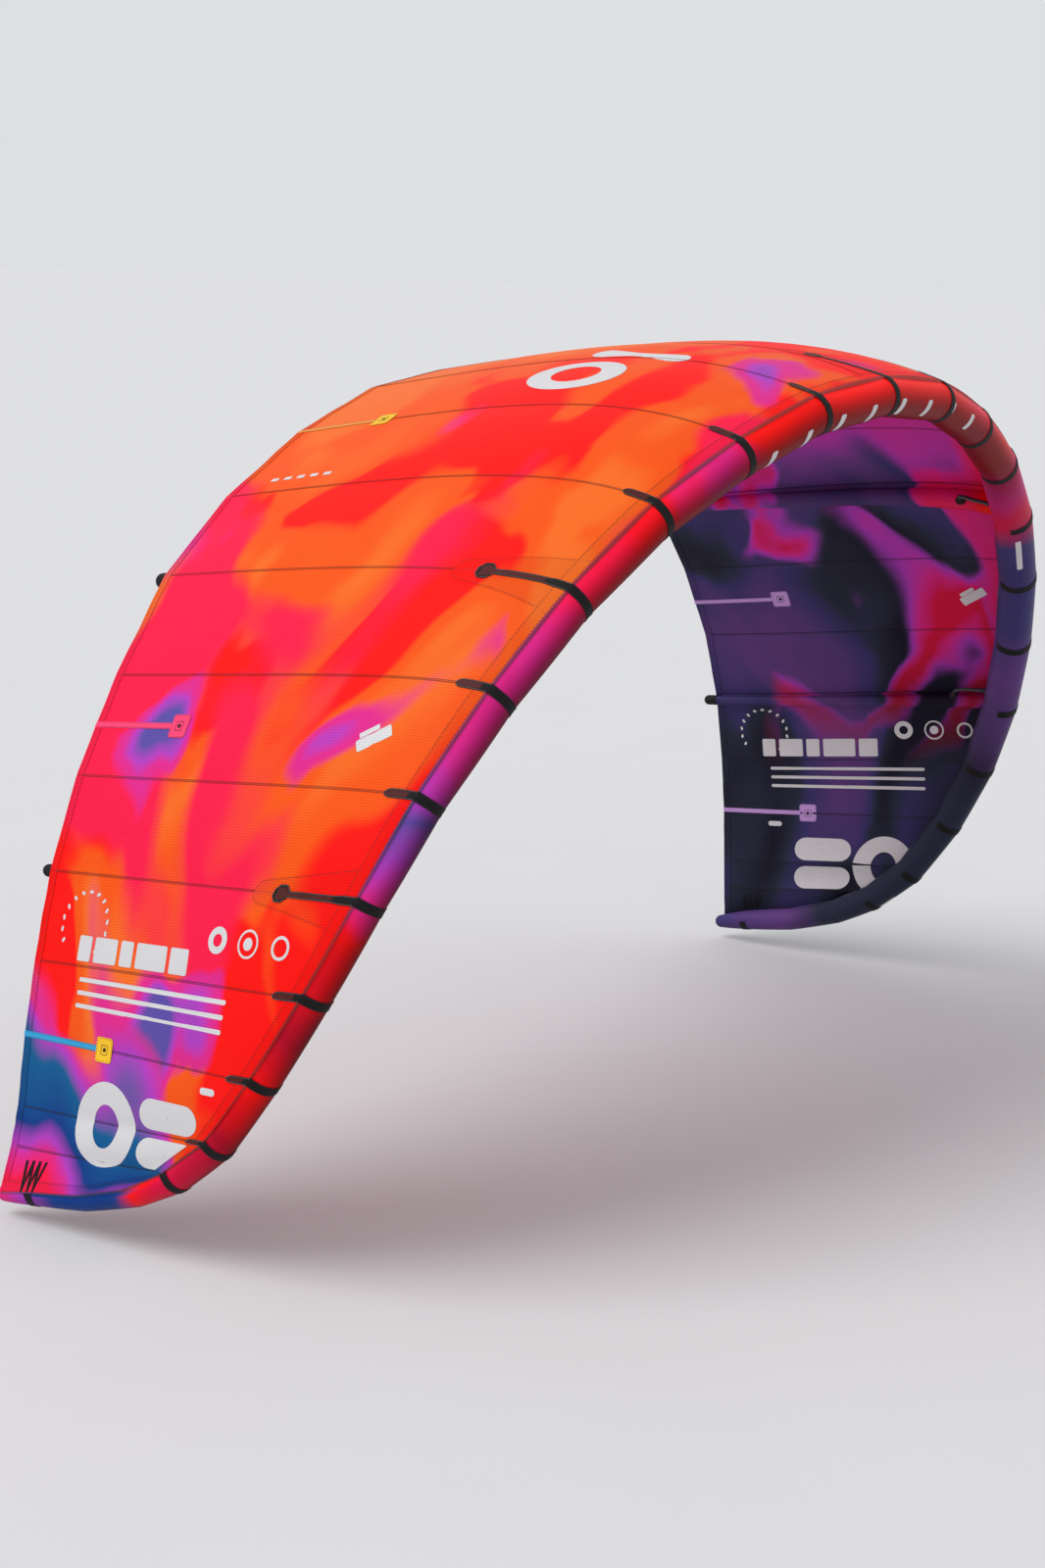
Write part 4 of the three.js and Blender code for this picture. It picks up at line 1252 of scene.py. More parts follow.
def tape_window(along, length, share, half):
    """The sheer middle of a tail, inside its border."""
    start = 0.24 if along in STRUT_SEAMS else 0.2
    kept = (length > start * length[-1]) & (length < 0.97 * length[-1])
    border = np.where(half > 0.015, 8 * MM, 4.5 * MM)
    half_width = np.maximum(half - border, 1.5 * MM)[kept]
    strip_on_rib(WINDOWS, along, share[kept], half_width, WINDOW_LIFT, 0.2 * MM)


for along in TAPE_SEAMS:
    middle, normal, cloth, tail = seam_tape(along)
    body = sheet_body(middle, normal, TAPE_THICK)
    add_mesh(f"tape_{tape_name(along)}", *body, TAPE, both(cloth), both(cloth))
    outwards = np.sign(np.sum(normal * F["out"][along + LAST]) + 1e-9)
    outer = middle + normal * (TAPE_THICK / 2 + 0.2 * MM) * outwards
    TAPE_LINES += [outer[:, 1] * 0.35 + outer[:, 0] * 0.65, outer[:, -2] * 0.35 + outer[:, -1] * 0.65]
    if tail:
        tape_window(along, *tail)
WINDOWS.build("tape_windows", SHEER)
print("tapes:", len(TAPE_SEAMS))

# %% [markdown]
# The struts are thin air tubes under five of the ribs. Each runs from inside the front tube to a
# little past the trailing edge, and is carried by cloth flanges sewn to the canopy on either side,
# which show as two dark lines. A black sleeve covers its rear end. The strut carries the
# same dye as the canopy above it, so it takes the canopy's metre map.

# %% Struts
STRUT_SIDES = 30
STRUT_GAP = 1.6 * MM
STRUT_OVERHANG = 24 * MM
STRUT_RUN_IN = 0.1
STRUT_SMOOTHING = 12
FLANGE_LEAN = math.radians(50)


def strut_path(rib, front, rear):
    """Centres, radii and canopy shares along a strut."""
    share = np.linspace(STRUT_RUN_IN, 1, 60)
    radius = front + (rear - front) * share
    centre = skin(rib, share, -(STRUT_GAP + radius))
    k = rib + LAST
    hub = F["centre"][k] - F["out"][k] * 4 * MM
    reach = np.linalg.norm(centre[0] - hub)
    lead = np.linspace((F["radius"][k] - 6 * MM) / reach, 1, 8)[:-1]
    lead_in = hub + (centre[0] - hub) * lead[:, None]
    back = unit(centre[-1] - centre[-2])
    tail = centre[-1] + back * STRUT_OVERHANG * np.linspace(0.25, 1, 4)[:, None]
    path = np.concatenate([lead_in, centre, tail])
    for _ in range(STRUT_SMOOTHING):
        path[1:-1] = (path[:-2] + 2 * path[1:-1] + path[2:]) / 4
    radii = np.concatenate([np.full(len(lead_in), radius[0]), radius, np.full(4, rear)])
    shares = np.concatenate([STRUT_RUN_IN * lead * 0.9, share, np.full(4, 1.0)])
    return path, radii, shares


def ring_frame(path, run):
    """Level and upright directions across a path, for a run along the front tube."""
    ahead = unit(np.gradient(path, axis=0))
    level = unit(run - ahead * dot(ahead, np.broadcast_to(run, ahead.shape)))
    return level, np.cross(level, ahead)


def rings_round(path, radii, level, upright, sides):
    """Rings of points round a path, and the angles of their points."""
    angle = np.linspace(0, math.tau, sides + 1)
    turn = angle[None, :, None]
    spokes = level[:, None] * np.cos(turn) + upright[:, None] * np.sin(turn)
    return path[:, None] + spokes * radii[:, None, None], angle


def along_path(at, distance, values):
    """Points or directions given along a path, read at other distances."""
    return np.stack([np.interp(at, distance, values[:, axis]) for axis in range(3)], axis=1)


def make_strut(place, rib, front, rear):
    path, radii, shares = strut_path(rib, front, rear)
    rings, angle = rings_round(path, radii, *ring_frame(path, F["run"][rib + LAST]), STRUT_SIDES)
    end = rounded_end(rings[-1], path[-1], unit(path[-1] - path[-2]) * radii[-1])
    rings = np.concatenate([rings, end])
    ring_shares = np.concatenate([shares, np.ones(len(end))])
    round_it = np.stack([np.cos(angle) * front, np.sin(angle) * 0.02], axis=1)
    cloth = cloth_uv(rib, ring_shares)[:, None] + round_it
    share = mesh_grid(ring_shares, angle)[0]
    placed = np.stack([np.full_like(share, rib), share], axis=-1)
    add_mesh(
        f"strut_tube_{place}", rings.reshape(-1, 3), loft_faces(*rings.shape[:2]), STRUT_CLOTH,
        cloth.reshape(-1, 2), placed.reshape(-1, 2), weld=True,
    )
    return path, radii, shares

# %% [markdown]
# Two flanges of cloth hang the strut from the canopy. Each leaves the tube of the strut on its
# upper side and meets the canopy a little further out, where a black line of tape covers the seam.

# %% The struts' flanges
def strut_flanges(bodies, lines, rib, path, radii, shares):
    """Two cloth flanges from the strut's sides up to the canopy, and the line they are sewn on."""
    kept = (shares > 0.13) & (shares < 0.985)
    path, radii, shares = path[kept], radii[kept], shares[kept]
    level, upright = ring_frame(path, F["run"][rib + LAST])
    up = np.sign(np.sum(upright * skin_normal(rib, shares)))
    level_way = np.sign(np.sum(level * F["run"][rib + LAST]))
    uv = cloth_uv(rib, shares)
    cloth = np.repeat(uv, 4, axis=0)
    place = np.repeat(np.stack([np.full(len(shares), float(rib)), shares], axis=1), 4, axis=0)
    line_map = np.stack(mesh_grid(uv[:, 1], np.array([0, 5 * MM])), axis=-1).reshape(-1, 2)
    for way in (-1, 1):
        lean = level * way * math.sin(FLANGE_LEAN) + upright * up * math.cos(FLANGE_LEAN)
        side = path + lean * radii[:, None]
        x = rib + way * radii * per_metre(rib, shares) * level_way
        near = skin(x, shares, -1.1 * MM)
        middle = np.stack([side, (side * 2 + near) / 3, (side + near * 2) / 3, near], axis=1)
        bodies.add(*sheet_body(middle, grid_normal(middle), 0.6 * MM), both(cloth), both(place))
        width = 8 * MM * per_metre(rib, shares)
        strip = np.stack([skin(x + way * width * part, shares, -1.3 * MM) for part in (-0.15, 0.3)], axis=1)
        normal = np.repeat(skin_normal(x, shares)[:, None], 2, axis=1)
        lines.add(*sheet_body(strip, normal, 0.7 * MM), both(line_map), both(line_map))

# %% [markdown]
# The sleeve at the rear end keeps sand and knocks off the strut. It is the strut's own shape, made
# a little wider, with a hem at its front edge and a rounded end.

# %% End sleeves
SLEEVE_LENGTH = 34 * MM
# distance from the cuff's edge, and how far the sleeve stands off the strut, in millimetres
SLEEVE_PROFILE = [(0, 0.6), (0.5, 2.4), (6, 2.4), (6.6, 1.4), (34, 1.4)]


def end_sleeve(place, rib, path, radii):
    """The black sleeve over the strut's rear end: a hemmed cuff, and a rounded end."""
    distance = run_length(path)
    at = np.linspace(distance[-1] - SLEEVE_LENGTH, distance[-1], 9)
    line = along_path(at, distance, path)
    rear = radii[-1]
    stops, over = np.array(SLEEVE_PROFILE).T * MM
    cuff = np.interp(at - at[0], stops, over)
    rings, angle = rings_round(line, rear + cuff, *ring_frame(line, F["run"][rib + LAST]), STRUT_SIDES)
    end = rounded_end(rings[-1], line[-1], unit(line[-1] - line[-2]) * (rear + over[-1]))
    rings = np.concatenate([rings, end])
    cloth = np.stack(mesh_grid(np.arange(len(rings)) * 4 * MM, angle * rear), axis=-1)
    return add_mesh(
        f"end_sleeve_{place}", rings.reshape(-1, 3), loft_faces(*rings.shape[:2]), SLEEVE,
        cloth.reshape(-1, 2), cloth.reshape(-1, 2), weld=True,
    )

# %% [markdown]
# Air gets from the front tube into each strut through a short rubber hose, which stands out in an
# arch beside the joint. It is held at both ends, so its path is fixed: a smooth curve through a
# few points worked out from the section and the strut. Each end has a round flange glued to the cloth
# and a clamp, which are rings in the same loft.

# %% Hoses
HOSE_RADIUS, HOSE_SIDES = 6.5 * MM, 16
HOSE_REACH, HOSE_SIDE = 140 * MM, 60 * MM
HOSE_STEP, HOSE_RIPPLE = 3 * MM, 0.35 * MM
HOSE_SMOOTHING = 260
HOSE_PROFILE = [
    # distance from the end, radius over the hose's own, in millimetres
    (0, 11), (1.6, 11), (2.6, 8), (4, 3.2), (9, 2.6), (10, 0), (14, 0), (14.6, 2.2), (20, 2.2), (20.6, 0),
    (24, 0),
]


def smooth_path(points, steps):
    """A curve through the points, bent evenly between them."""
    points = np.array(points)
    padded = np.vstack([2 * points[0] - points[1], points, 2 * points[-1] - points[-2]])
    line = []
    for i in range(1, len(padded) - 2):
        part = np.linspace(0, 1, steps, endpoint=False)[:, None]
        line.append(smooth_between(*padded[i - 1:i + 3], part))
    return np.vstack([*line, points[-1:]])


def hose_path(rib, front, path):
    k = rib + LAST
    way = -1 if rib > 0 else 1
    hub, radius = F["centre"][k], F["radius"][k]
    aside, under = F["run"][k] * way, -F["out"][k]
    start = hub - F["out"][k] * 4 * MM
    knot = skin(rib, 0.28, -(STRUT_GAP + front))[0]
    back = unit(knot - start)
    foot = start + back * (radius + HOSE_REACH)

    def at(base, side_by, back_by, under_by):
        return base + aside * side_by + back * back_by + under * under_by * MM

    points = [
        at(hub, HOSE_SIDE, radius * 0.5, 12),
        at(hub, HOSE_SIDE + 6 * MM, radius + 14 * MM, 20),
        at(hub, HOSE_SIDE + 8 * MM, radius + 0.55 * HOSE_REACH, 26),
        at(foot, HOSE_SIDE, 0, 18),
        at(foot, front * 0.95, 0, 14),
        at(foot, front * 0.4, 0, 12),
    ]
    line = smooth_path(points, 40)
    for _ in range(HOSE_SMOOTHING):
        line[1:-1] = (line[:-2] + line[2:]) / 2
    along_axis = dot(line - hub, F["run"][k])
    from_tube = np.linalg.norm(line - hub - along_axis * F["run"][k], axis=1)
    from_strut = np.linalg.norm(line[:, None] - path[None], axis=2).min(axis=1)
    return line[(from_tube > radius - 2 * MM) & (from_strut > front * 0.98 - 2 * MM)]


def make_hose(place, rib, front, path):
    line = hose_path(rib, front, path)
    distance = run_length(line)
    whole = distance[-1]
    stops, extra = np.array(HOSE_PROFILE).T * MM
    middle = np.arange(stops[-1] + HOSE_STEP, whole - stops[-1] - HOSE_STEP, HOSE_STEP)
    ripples = HOSE_RIPPLE * np.sin(np.arange(len(middle)) * 1.6)
    at = np.concatenate([stops, middle, whole - stops[::-1]])
    radius = HOSE_RADIUS + np.concatenate([extra, ripples, extra[::-1]])
    ahead = along_path(at, distance, unit(np.gradient(line, axis=0)))
    level = unit(np.cross(ahead, F["out"][rib + LAST]))
    upright = np.cross(level, ahead)
    rings, _ = rings_round(along_path(at, distance, line), radius, level, upright, HOSE_SIDES)
    add_mesh(f"hose_pipe_{place}", rings.reshape(-1, 3), loft_faces(*rings.shape[:2]), RUBBER, weld=True)
    return whole


FLANGES, FLANGE_LINES = Bodies(), Bodies()
for place, (rib, front, rear) in STRUTS.items():
    path, radii, shares = make_strut(place, rib, front, rear)
    strut_flanges(FLANGES, FLANGE_LINES, rib, path, radii, shares)
    end_sleeve(place, rib, path, radii)
    print("hose", place, round(make_hose(place, rib, front, path), 3), "m")
FLANGES.build("strut_flanges", STRUT_CLOTH)
FLANGE_LINES.build("strut_flange_lines", TAPE)

# %% [markdown]
# Six batten pockets stiffen the trailing edge, three on each half. A pocket is a narrow strip
# folded round the edge, so it lies on both faces, and it ends in a square patch with rounded
# corners, a sewn inner square and the small dark end of the batten's cord.

# %% Batten pockets
BATTEN_LENGTH, BATTEN_WIDTH, BATTEN_PATCH, BATTEN_CORNER = 0.36, 17 * MM, 64 * MM, 9 * MM
BATTENS = {
    # rib, colour of the strip, colour of the patch
    "inner_left": (-2, "amber", "yellow"),
    "middle_left": (-5.5, "rose", "rose"),
    "outer_left": (-9, "blue", "yellow"),
    "inner_right": (2, "lilac", "lilac"),
    "middle_right": (5.5, "lilac", "lilac"),
    "outer_right": (9, "lilac", "lilac"),
}
BATTEN_LIFT, BATTEN_CROWN = 1.4 * MM, 0.3 * MM
print("battens at ribs:", [rib for rib, *_ in BATTENS.values()])

# %% [markdown]
# A patch or a printed shape is an outline in metres on the cloth. It is filled towards its middle
# by a few smaller copies of itself, so that it bends with the surface below it.

# %% Outlines laid on the cloth


def lay_outline(bodies, u, v, outline, lift, thickness, hole=None, rows=6):
    """A flat shape round (u, v), filled towards its middle, or towards a hole's outline."""
    outline = np.array(outline)
    inner = outline * 0.02 if hole is None else np.array(hole)
    share = np.linspace(0, 1, rows)[:, None, None]
    grid = inner[None] * (1 - share) + outline[None] * share
    x, place = cloth_place((u + grid[..., 0]).ravel(), (v + grid[..., 1]).ravel())
    bodies.lay(x.reshape(grid.shape[:2]), place.reshape(grid.shape[:2]), lift, thickness, closed=True)


def rounded_box(half_u, half_v, corner, steps=7):
    points = []
    for quarter, (su, sv) in enumerate(((1, 1), (-1, 1), (-1, -1), (1, -1))):
        u, v = su * (half_u - corner), sv * (half_v - corner)
        for a in np.linspace(0, math.pi / 2, steps) + quarter * math.pi / 2:
            points.append((u + corner * math.cos(a), v + corner * math.sin(a)))
    return points


def circle(radius, steps=28, wide=1.0):
    turns = np.linspace(0, math.tau, steps, endpoint=False)
    return [(radius * math.cos(a) * wide, radius * math.sin(a)) for a in turns]

# %% [markdown]
# The strip of a pocket is one sheet: along the outer face to the trailing edge, round it, and
# back along the inner face. The patch is laid on each face.

# %% Strips and patches of the battens
def batten_place(rib):
    """Where the middle of a batten's patch is, in metres on the cloth."""
    return float(np.interp(rib, MAP_X, MAP_U)), BATTEN_LENGTH - BATTEN_PATCH / 2


def batten_strip(place, rib, colour):
    half, reach = BATTEN_WIDTH / 2, BATTEN_LENGTH - BATTEN_PATCH + 4 * MM
    distance = np.linspace(0.002, reach, 26)
    share = share_from_edge(rib, distance)
    sides = np.linspace(-1, 1, 5)
    at, side = mesh_grid(share, sides)
    x = rib + side * half * per_metre(rib, share)[:, None]
    lift = BATTEN_LIFT + BATTEN_CROWN * (1 - side**2)
    rows = {face: skin_grid(x, at, face * lift) for face in (1, -1)}
    fold = edge_fold(rib + sides * half * per_metre(rib, 1.0), ((2, 1.3), (2.6, 0), (2, -1.3)), MM)
    middle = np.concatenate([rows[1][::-1], np.stack(fold), rows[-1]])
    length = np.concatenate([distance[::-1], [0, -0.002, -0.004], -distance])
    cloth = np.stack(mesh_grid(length, sides * half), axis=-1).reshape(-1, 2)
    body = sheet_body(middle, grid_normal(middle), 0.5 * MM)
    add_mesh(f"batten_strip_{place}", *body, BATTEN_CLOTHS[colour], both(cloth), both(cloth))


def batten_patch(place, rib, colour):
    bodies = Bodies()
    shape = rounded_box(BATTEN_PATCH / 2, BATTEN_PATCH / 2, BATTEN_CORNER)
    for face in (1, -1):
        lay_outline(bodies, *batten_place(rib), shape, face * (BATTEN_LIFT + 0.35 * MM), 0.6 * MM)
    bodies.build(f"batten_patch_{place}", BATTEN_CLOTHS[colour])


def batten_dark(bodies, rib):
    """The small end of the cord, and the square sewn round it."""
    outside = rounded_box(13 * MM, 13 * MM, 3 * MM)
    inside = rounded_box(11.6 * MM, 11.6 * MM, 2.5 * MM)
    cord, square = BATTEN_LIFT + 1.1 * MM, BATTEN_LIFT + 0.8 * MM
    for face in (1, -1):
        lay_outline(bodies, *batten_place(rib), circle(5.5 * MM, 16), face * cord, 1.2 * MM, rows=4)
        lay_outline(bodies, *batten_place(rib), outside, face * square, 0.4 * MM, hole=inside, rows=2)


BATTEN_DARK = Bodies()
for place, (rib, strip_colour, patch_colour) in BATTENS.items():
    batten_strip(place, rib, strip_colour)
    batten_patch(place, rib, patch_colour)
    batten_dark(BATTEN_DARK, rib)
BATTEN_DARK.build("batten_cord_ends", SLEEVE)
print("batten pockets:", len(BATTENS))

# %% [markdown]
# At each tip a narrow strap is sewn flat on the cloth in a zigzag, on both faces. It spreads the
# pull of the rear line over the panel. Every stroke is one short strap that lies over the next at
# its turns, so each is laid a little higher or lower than its neighbour.

# %% Webbing fans
STRAP_WIDTH, STRAP_THICK = 7 * MM, 1.1 * MM
STRAP_STROKES, STRAP_PITCH = 6, 11 * MM
STRAP_TOP = 92 * MM
STRAP_FOOT = {1: 5 * MM, -1: 24 * MM}
STRAP_SHARE = 0.85


def tip_cloth_place(side, along, height):
    """Place of a point given in metres along the tip's sewn edge and up from it."""
    edge = side * (TIP_EDGE - 0.001)
    share = np.array([0.75, 0.93])
    ends = skin_base(np.full(2, edge), share)
    share_at = STRAP_SHARE + along / (np.linalg.norm(ends[1] - ends[0]) / (share[1] - share[0]))
    across = skin_base(np.full(len(share_at), edge), share_at) - skin_base(side * RIBS, share_at)
    depth = np.linalg.norm(across, axis=1)
    return side * (TIP_EDGE - height / depth), share_at


def webbing_fan(side, face):
    """Six strokes to and fro between the foot and the top of the fan."""
    bodies = Bodies()
    foot = STRAP_FOOT[face]
    for stroke in range(STRAP_STROKES):
        first = (stroke - STRAP_STROKES / 2) * STRAP_PITCH
        bottom, top = (first, first + STRAP_PITCH) if stroke % 2 else (first + STRAP_PITCH, first)
        share, across = mesh_grid(np.linspace(-0.02, 1.02, 12), np.linspace(-0.5, 0.5, 3))
        along = bottom + (top - bottom) * share + across * STRAP_WIDTH
        height = foot + (STRAP_TOP - foot) * share
        x, place = tip_cloth_place(side, along.ravel(), height.ravel())
        lift = face * (1.2 * MM + 0.7 * MM * (stroke % 2))
        bodies.lay(x.reshape(share.shape), place.reshape(share.shape), lift, STRAP_THICK)
    name = f"webbing_fan_{'outside' if face > 0 else 'inside'}_{'left' if side < 0 else 'right'}"
    bodies.build(name, WEBBING)


for side in (-1, 1):
    for face in FACES.values():
        webbing_fan(side, face)
print("webbing fans:", 2 * len(FACES))

# %% [markdown]
# The print also has plain light-grey shapes on both halves: a thick ring and a pair of bars near
# the tip, rows of bars further up, a few small rings and dots, and slanted dashes along the front
# tube. They are real thin bodies of ink laid on both faces, so their edges stay crisp.
# Places and sizes are metres on the cloth.

# %% Grey printed shapes
INK_LIFT, INK_THICK = 0.9 * MM, 0.08 * MM
marks = Bodies()


def turned(outline, turn):
    c, s = math.cos(turn), math.sin(turn)
    return [(a * c - b * s, a * s + b * c) for a, b in outline]


def mark(u, v, outline, hole=None, turn=0.0):
    """A grey shape at (u, v), on both faces."""
    if turn:
        outline = turned(outline, turn)
        hole = hole and turned(hole, turn)
    for face in (1, -1):
        lay_outline(marks, u, v, outline, face * INK_LIFT, INK_THICK, hole, 6 if hole is None else 4)


def pill(half_u, half_v):
    """A bar with round ends."""
    return rounded_box(half_u, half_v, min(half_u, half_v) * 0.98)


def tip_marks(side):
    """The shapes of one half; the ring and the bars change places on the other."""
    right = side > 0
    ring_at, bars_at = (0.62, 0.385) if right else (0.36, 0.6)
    mark(side * 2.877, ring_at, circle(0.117, 40, 1.05), circle(0.048, 40, 1.3))
    for u in (2.815, 2.93):
        mark(side * u, bars_at, pill(0.045, 0.108))
    mark(side * 2.722, 0.2 if right else 0.742, pill(0.009, 0.026))
    start = 0.165
    for length in (0.05, 0.09, 0.05, 0.12, 0.07):
        mark(side * 2.432, start + length / 2, rounded_box(0.034, length / 2, 0.006))
        start += length + 0.014
    for u in (2.512, 2.545, 2.578):
        mark(side * u, 0.48, pill(0.0055, 0.29))
    for v, radius, hole in ((0.7, 0.034, 0.016), (0.812, 0.036, 0.03), (0.925, 0.03, 0.022)):
        mark(side * 2.366, v, circle(radius), circle(hole))
    mark(side * 2.366, 0.812, circle(0.016, 20))
    for n in range(15):
        turn = math.radians(-120 + 20 * n)
        u, v = side * (2.372 - 0.088 * math.cos(turn)), 0.175 + 0.088 * math.sin(turn)
        mark(u, v, pill(0.0042, 0.0072), turn=side * turn)
    mark(side * 1.845, 1.03, rounded_box(0.016, 0.052, 0.005), turn=side * 0.5)
    mark(side * 1.828, 1.01, rounded_box(0.007, 0.03, 0.003), turn=side * 0.5)


for side in (-1, 1):
    tip_marks(side)
mark(-0.5, 0.87, circle(0.15, 44, 0.7), circle(0.075, 44, 0.75))
mark(-0.31, 0.95, pill(0.035, 0.17), turn=0.15)
for n in range(5):
    mark(-0.98, 0.14 + 0.05 * n, rounded_box(0.007, 0.014, 0.003))
marks.build("grey_marks", INK)
print("faces in the grey shapes:", len(marks.faces))

# %% [markdown]
# The tube's own marks are bent round it, so their outlines are first cut into many even steps.
# A long straight side with a point at each end only would sink into the round tube.

# %% Marks on the front tube
MARK_STEPS = 72


def tube_mark(bodies, along, angle, half_round, half_along, slant):
    """A bar at a place along and round the tube, with its half sizes in metres."""
    corners = rounded_box(half_round, half_along, min(half_round, half_along) * 0.5)
    corners = np.array(corners + corners[:1])
    run = run_length(corners)
    even = np.linspace(0, run[-1], MARK_STEPS, endpoint=False)
    shape = np.stack([np.interp(even, run, corners[:, way]) for way in (0, 1)], axis=-1)
    grid = shape[None] * np.linspace(0.02, 1, 4)[:, None, None]
    k = int(round(along)) + LAST
    radius = float(np.interp(along + LAST, np.arange(COUNT), F["radius"]))
    gap = np.linalg.norm(F["centre"][k + 1] - F["centre"][k - 1]) / 2
    place = along + (grid[..., 1] + slant * grid[..., 0]) / gap
    round_it = angle + grid[..., 0] / radius
    flat = place.ravel(), np.mod(round_it.ravel(), math.tau)
    height = tube_crease(*flat) + 0.3 * MM
    points = tube_point(*flat, height).reshape(*place.shape, 3)
    above = tube_point(*flat, height + 2 * MM).reshape(*place.shape, 3)
    cloth = np.stack([place * gap, round_it * radius], axis=-1).reshape(-1, 2)
    bodies.add(*sheet_body(points, unit(above - points), 0.1 * MM, closed=True), both(cloth), both(cloth))


def tube_marks():
    """Slanted dashes round the middle of the front tube, and plain bars further out."""
    bodies = Bodies()
    dashes = [(-1.74 + 0.46 * n, math.radians(-126 + 2.0 * n), 0.026, 0.012, 0.3) for n in range(8)]
    dashes += [(4.4, math.radians(-150), 0.009, 0.075, 0), (-4.4, math.radians(-150), 0.009, 0.075, 0)]
    dashes += [(side * 10.72, math.radians(-100), 0.008, 0.03, 0) for side in (-1, 1)]
    for dash in dashes:
        tube_mark(bodies, *dash)
    bodies.build("tube_marks", INK)


tube_marks()
print("pieces so far:", len(PIECES))

# %% [markdown]
# Thousands of stitches hold the kite together. A line of sewing is only a path, so Geometry Nodes
# do the rest: the path is cut into equal steps, a short round stitch is set on each step along the
# path, with a little unevenness from a fixed seed, and the result is made into a plain mesh.
# The lines are worked out first, from the same functions that laid the strips.

# %% The sewing tree
POINTS_PER_STITCH = 10


def sewing_tree():
    group = bpy.data.node_groups.new("sewing", "GeometryNodeTree")
    face = group.interface
    face.new_socket("Lines", in_out="INPUT", socket_type="NodeSocketGeometry")
    for title in ("Pitch", "Stitch length", "Thread radius"):
        face.new_socket(title, in_out="INPUT", socket_type="NodeSocketFloat")
    face.new_socket("Seed", in_out="INPUT", socket_type="NodeSocketInt")
    face.new_socket("Thread", in_out="INPUT", socket_type="NodeSocketMaterial")
    face.new_socket("Stitches", in_out="OUTPUT", socket_type="NodeSocketGeometry")

    def node(kind, **settings):
        made = group.nodes.new(kind)
        for name, value in settings.items():
            setattr(made, name, value)
        return made

    link = group.links.new
    given, result = node("NodeGroupInput"), node("NodeGroupOutput")
    curve, steps = node("GeometryNodeMeshToCurve"), node("GeometryNodeResampleCurve", mode="LENGTH")
    stitch = node("GeometryNodeMeshCylinder", fill_type="NGON")
    stitch.inputs["Vertices"].default_value = POINTS_PER_STITCH // 2
    uneven = node("FunctionNodeRandomValue", data_type="FLOAT_VECTOR")
    uneven.inputs[0].default_value, uneven.inputs[1].default_value = (0.85, 0.85, 0.85), (1.1, 1.1, 1.12)
    turn, ahead = node("FunctionNodeAlignRotationToVector", axis="Z"), node("GeometryNodeInputTangent")
    place, real = node("GeometryNodeInstanceOnPoints"), node("GeometryNodeRealizeInstances")
    finish = node("GeometryNodeSetMaterial")
    link(given.outputs["Lines"], curve.inputs["Mesh"])
    link(curve.outputs["Curve"], steps.inputs["Curve"])
    link(given.outputs["Pitch"], steps.inputs["Length"])
    link(given.outputs["Thread radius"], stitch.inputs["Radius"])
    link(given.outputs["Stitch length"], stitch.inputs["Depth"])
    link(given.outputs["Seed"], uneven.inputs["Seed"])
    link(ahead.outputs["Tangent"], turn.inputs["Vector"])
    link(steps.outputs["Curve"], place.inputs["Points"])
    link(stitch.outputs["Mesh"], place.inputs["Instance"])
    link(turn.outputs["Rotation"], place.inputs["Rotation"])
    link(uneven.outputs["Value"], place.inputs["Scale"])
    link(place.outputs["Instances"], real.inputs["Geometry"])
    link(real.outputs["Geometry"], finish.inputs["Geometry"])
    link(given.outputs["Thread"], finish.inputs["Material"])
    link(finish.outputs["Geometry"], result.inputs["Stitches"])
    return group


SEWING = sewing_tree()

# %% [markdown]
# To sew, the lines are made into a mesh of edges only, the tree is run on it, and its result is
# kept as a plain mesh. Each kind of sewing has a seed of its own, so the stitches are the same
# every time.

# %% Sewing along lines
def sew(name, lines, pitch, length, radius, material, seed):
    """Sews along lines, each a row of points, and returns the stitches as one plain mesh."""
    points = np.concatenate(lines)
    edges, start = [], 0
    for line in lines:
        edges += [(start + i, start + i + 1) for i in range(len(line) - 1)]
        start += len(line)
    paths = bpy.data.meshes.new(name + "_lines")
    paths.from_pydata(points.tolist(), edges, [])
    piece = bpy.data.objects.new(name, paths)
    scene.collection.objects.link(piece)
    modifier = piece.modifiers.new("sewing", "NODES")
    modifier.node_group = SEWING
    values = {"Pitch": pitch, "Stitch length": length, "Thread radius": radius}
    values.update({"Seed": seed, "Thread": material})
    for item in SEWING.interface.items_tree:
        if item.in_out == "INPUT" and item.name in values:
            modifier[item.identifier] = values[item.name]
    bpy.context.view_layer.update()
    baked = bpy.data.meshes.new_from_object(piece.evaluated_get(bpy.context.evaluated_depsgraph_get()))
    piece.modifiers.clear()
    piece.data = baked
    PIECES[name] = piece
    print(name, "stitches:", len(baked.vertices) // POINTS_PER_STITCH)

# %% [markdown]
# Each helper below gives one kind of path: along a rib, beside the tube, along the hem, round a
# patch, round a flat outline and round the tail of a tape. Each is given a height close to the
# surface of what it sews, so that the thread is partly sunk in the cloth.

# %% The lines of sewing
def rib_line(rib, offset, lift, steps=60):
    low, high = float(share_from_tube(rib, 0.03)[0]), float(share_from_edge(rib, 0.024)[0])
    share = np.linspace(low, high, steps)
    return skin(np.clip(rib + offset * per_metre(rib, share), -TIP_EDGE, TIP_EDGE), share, lift)


def band_lines(distance, lift):
    spans = [np.linspace(*span) for span in band_spans(0.2, 0.1)]
    return [skin(*beside_tube(along, distance), lift) for along in spans]


def hem_line(distance, lift):
    x = np.linspace(-TIP_EDGE + 0.03, TIP_EDGE - 0.03, 400)
    return skin(x, share_from_edge(x, distance), lift)


def patch_lines(rib, inset, lift):
    share, half = strut_patch(rib, inset)
    sides = [skin(rib + way * half * per_metre(rib, share), share, lift) for way in (-1, 1)]
    return [np.concatenate([sides[0], sides[1][::-1]])]


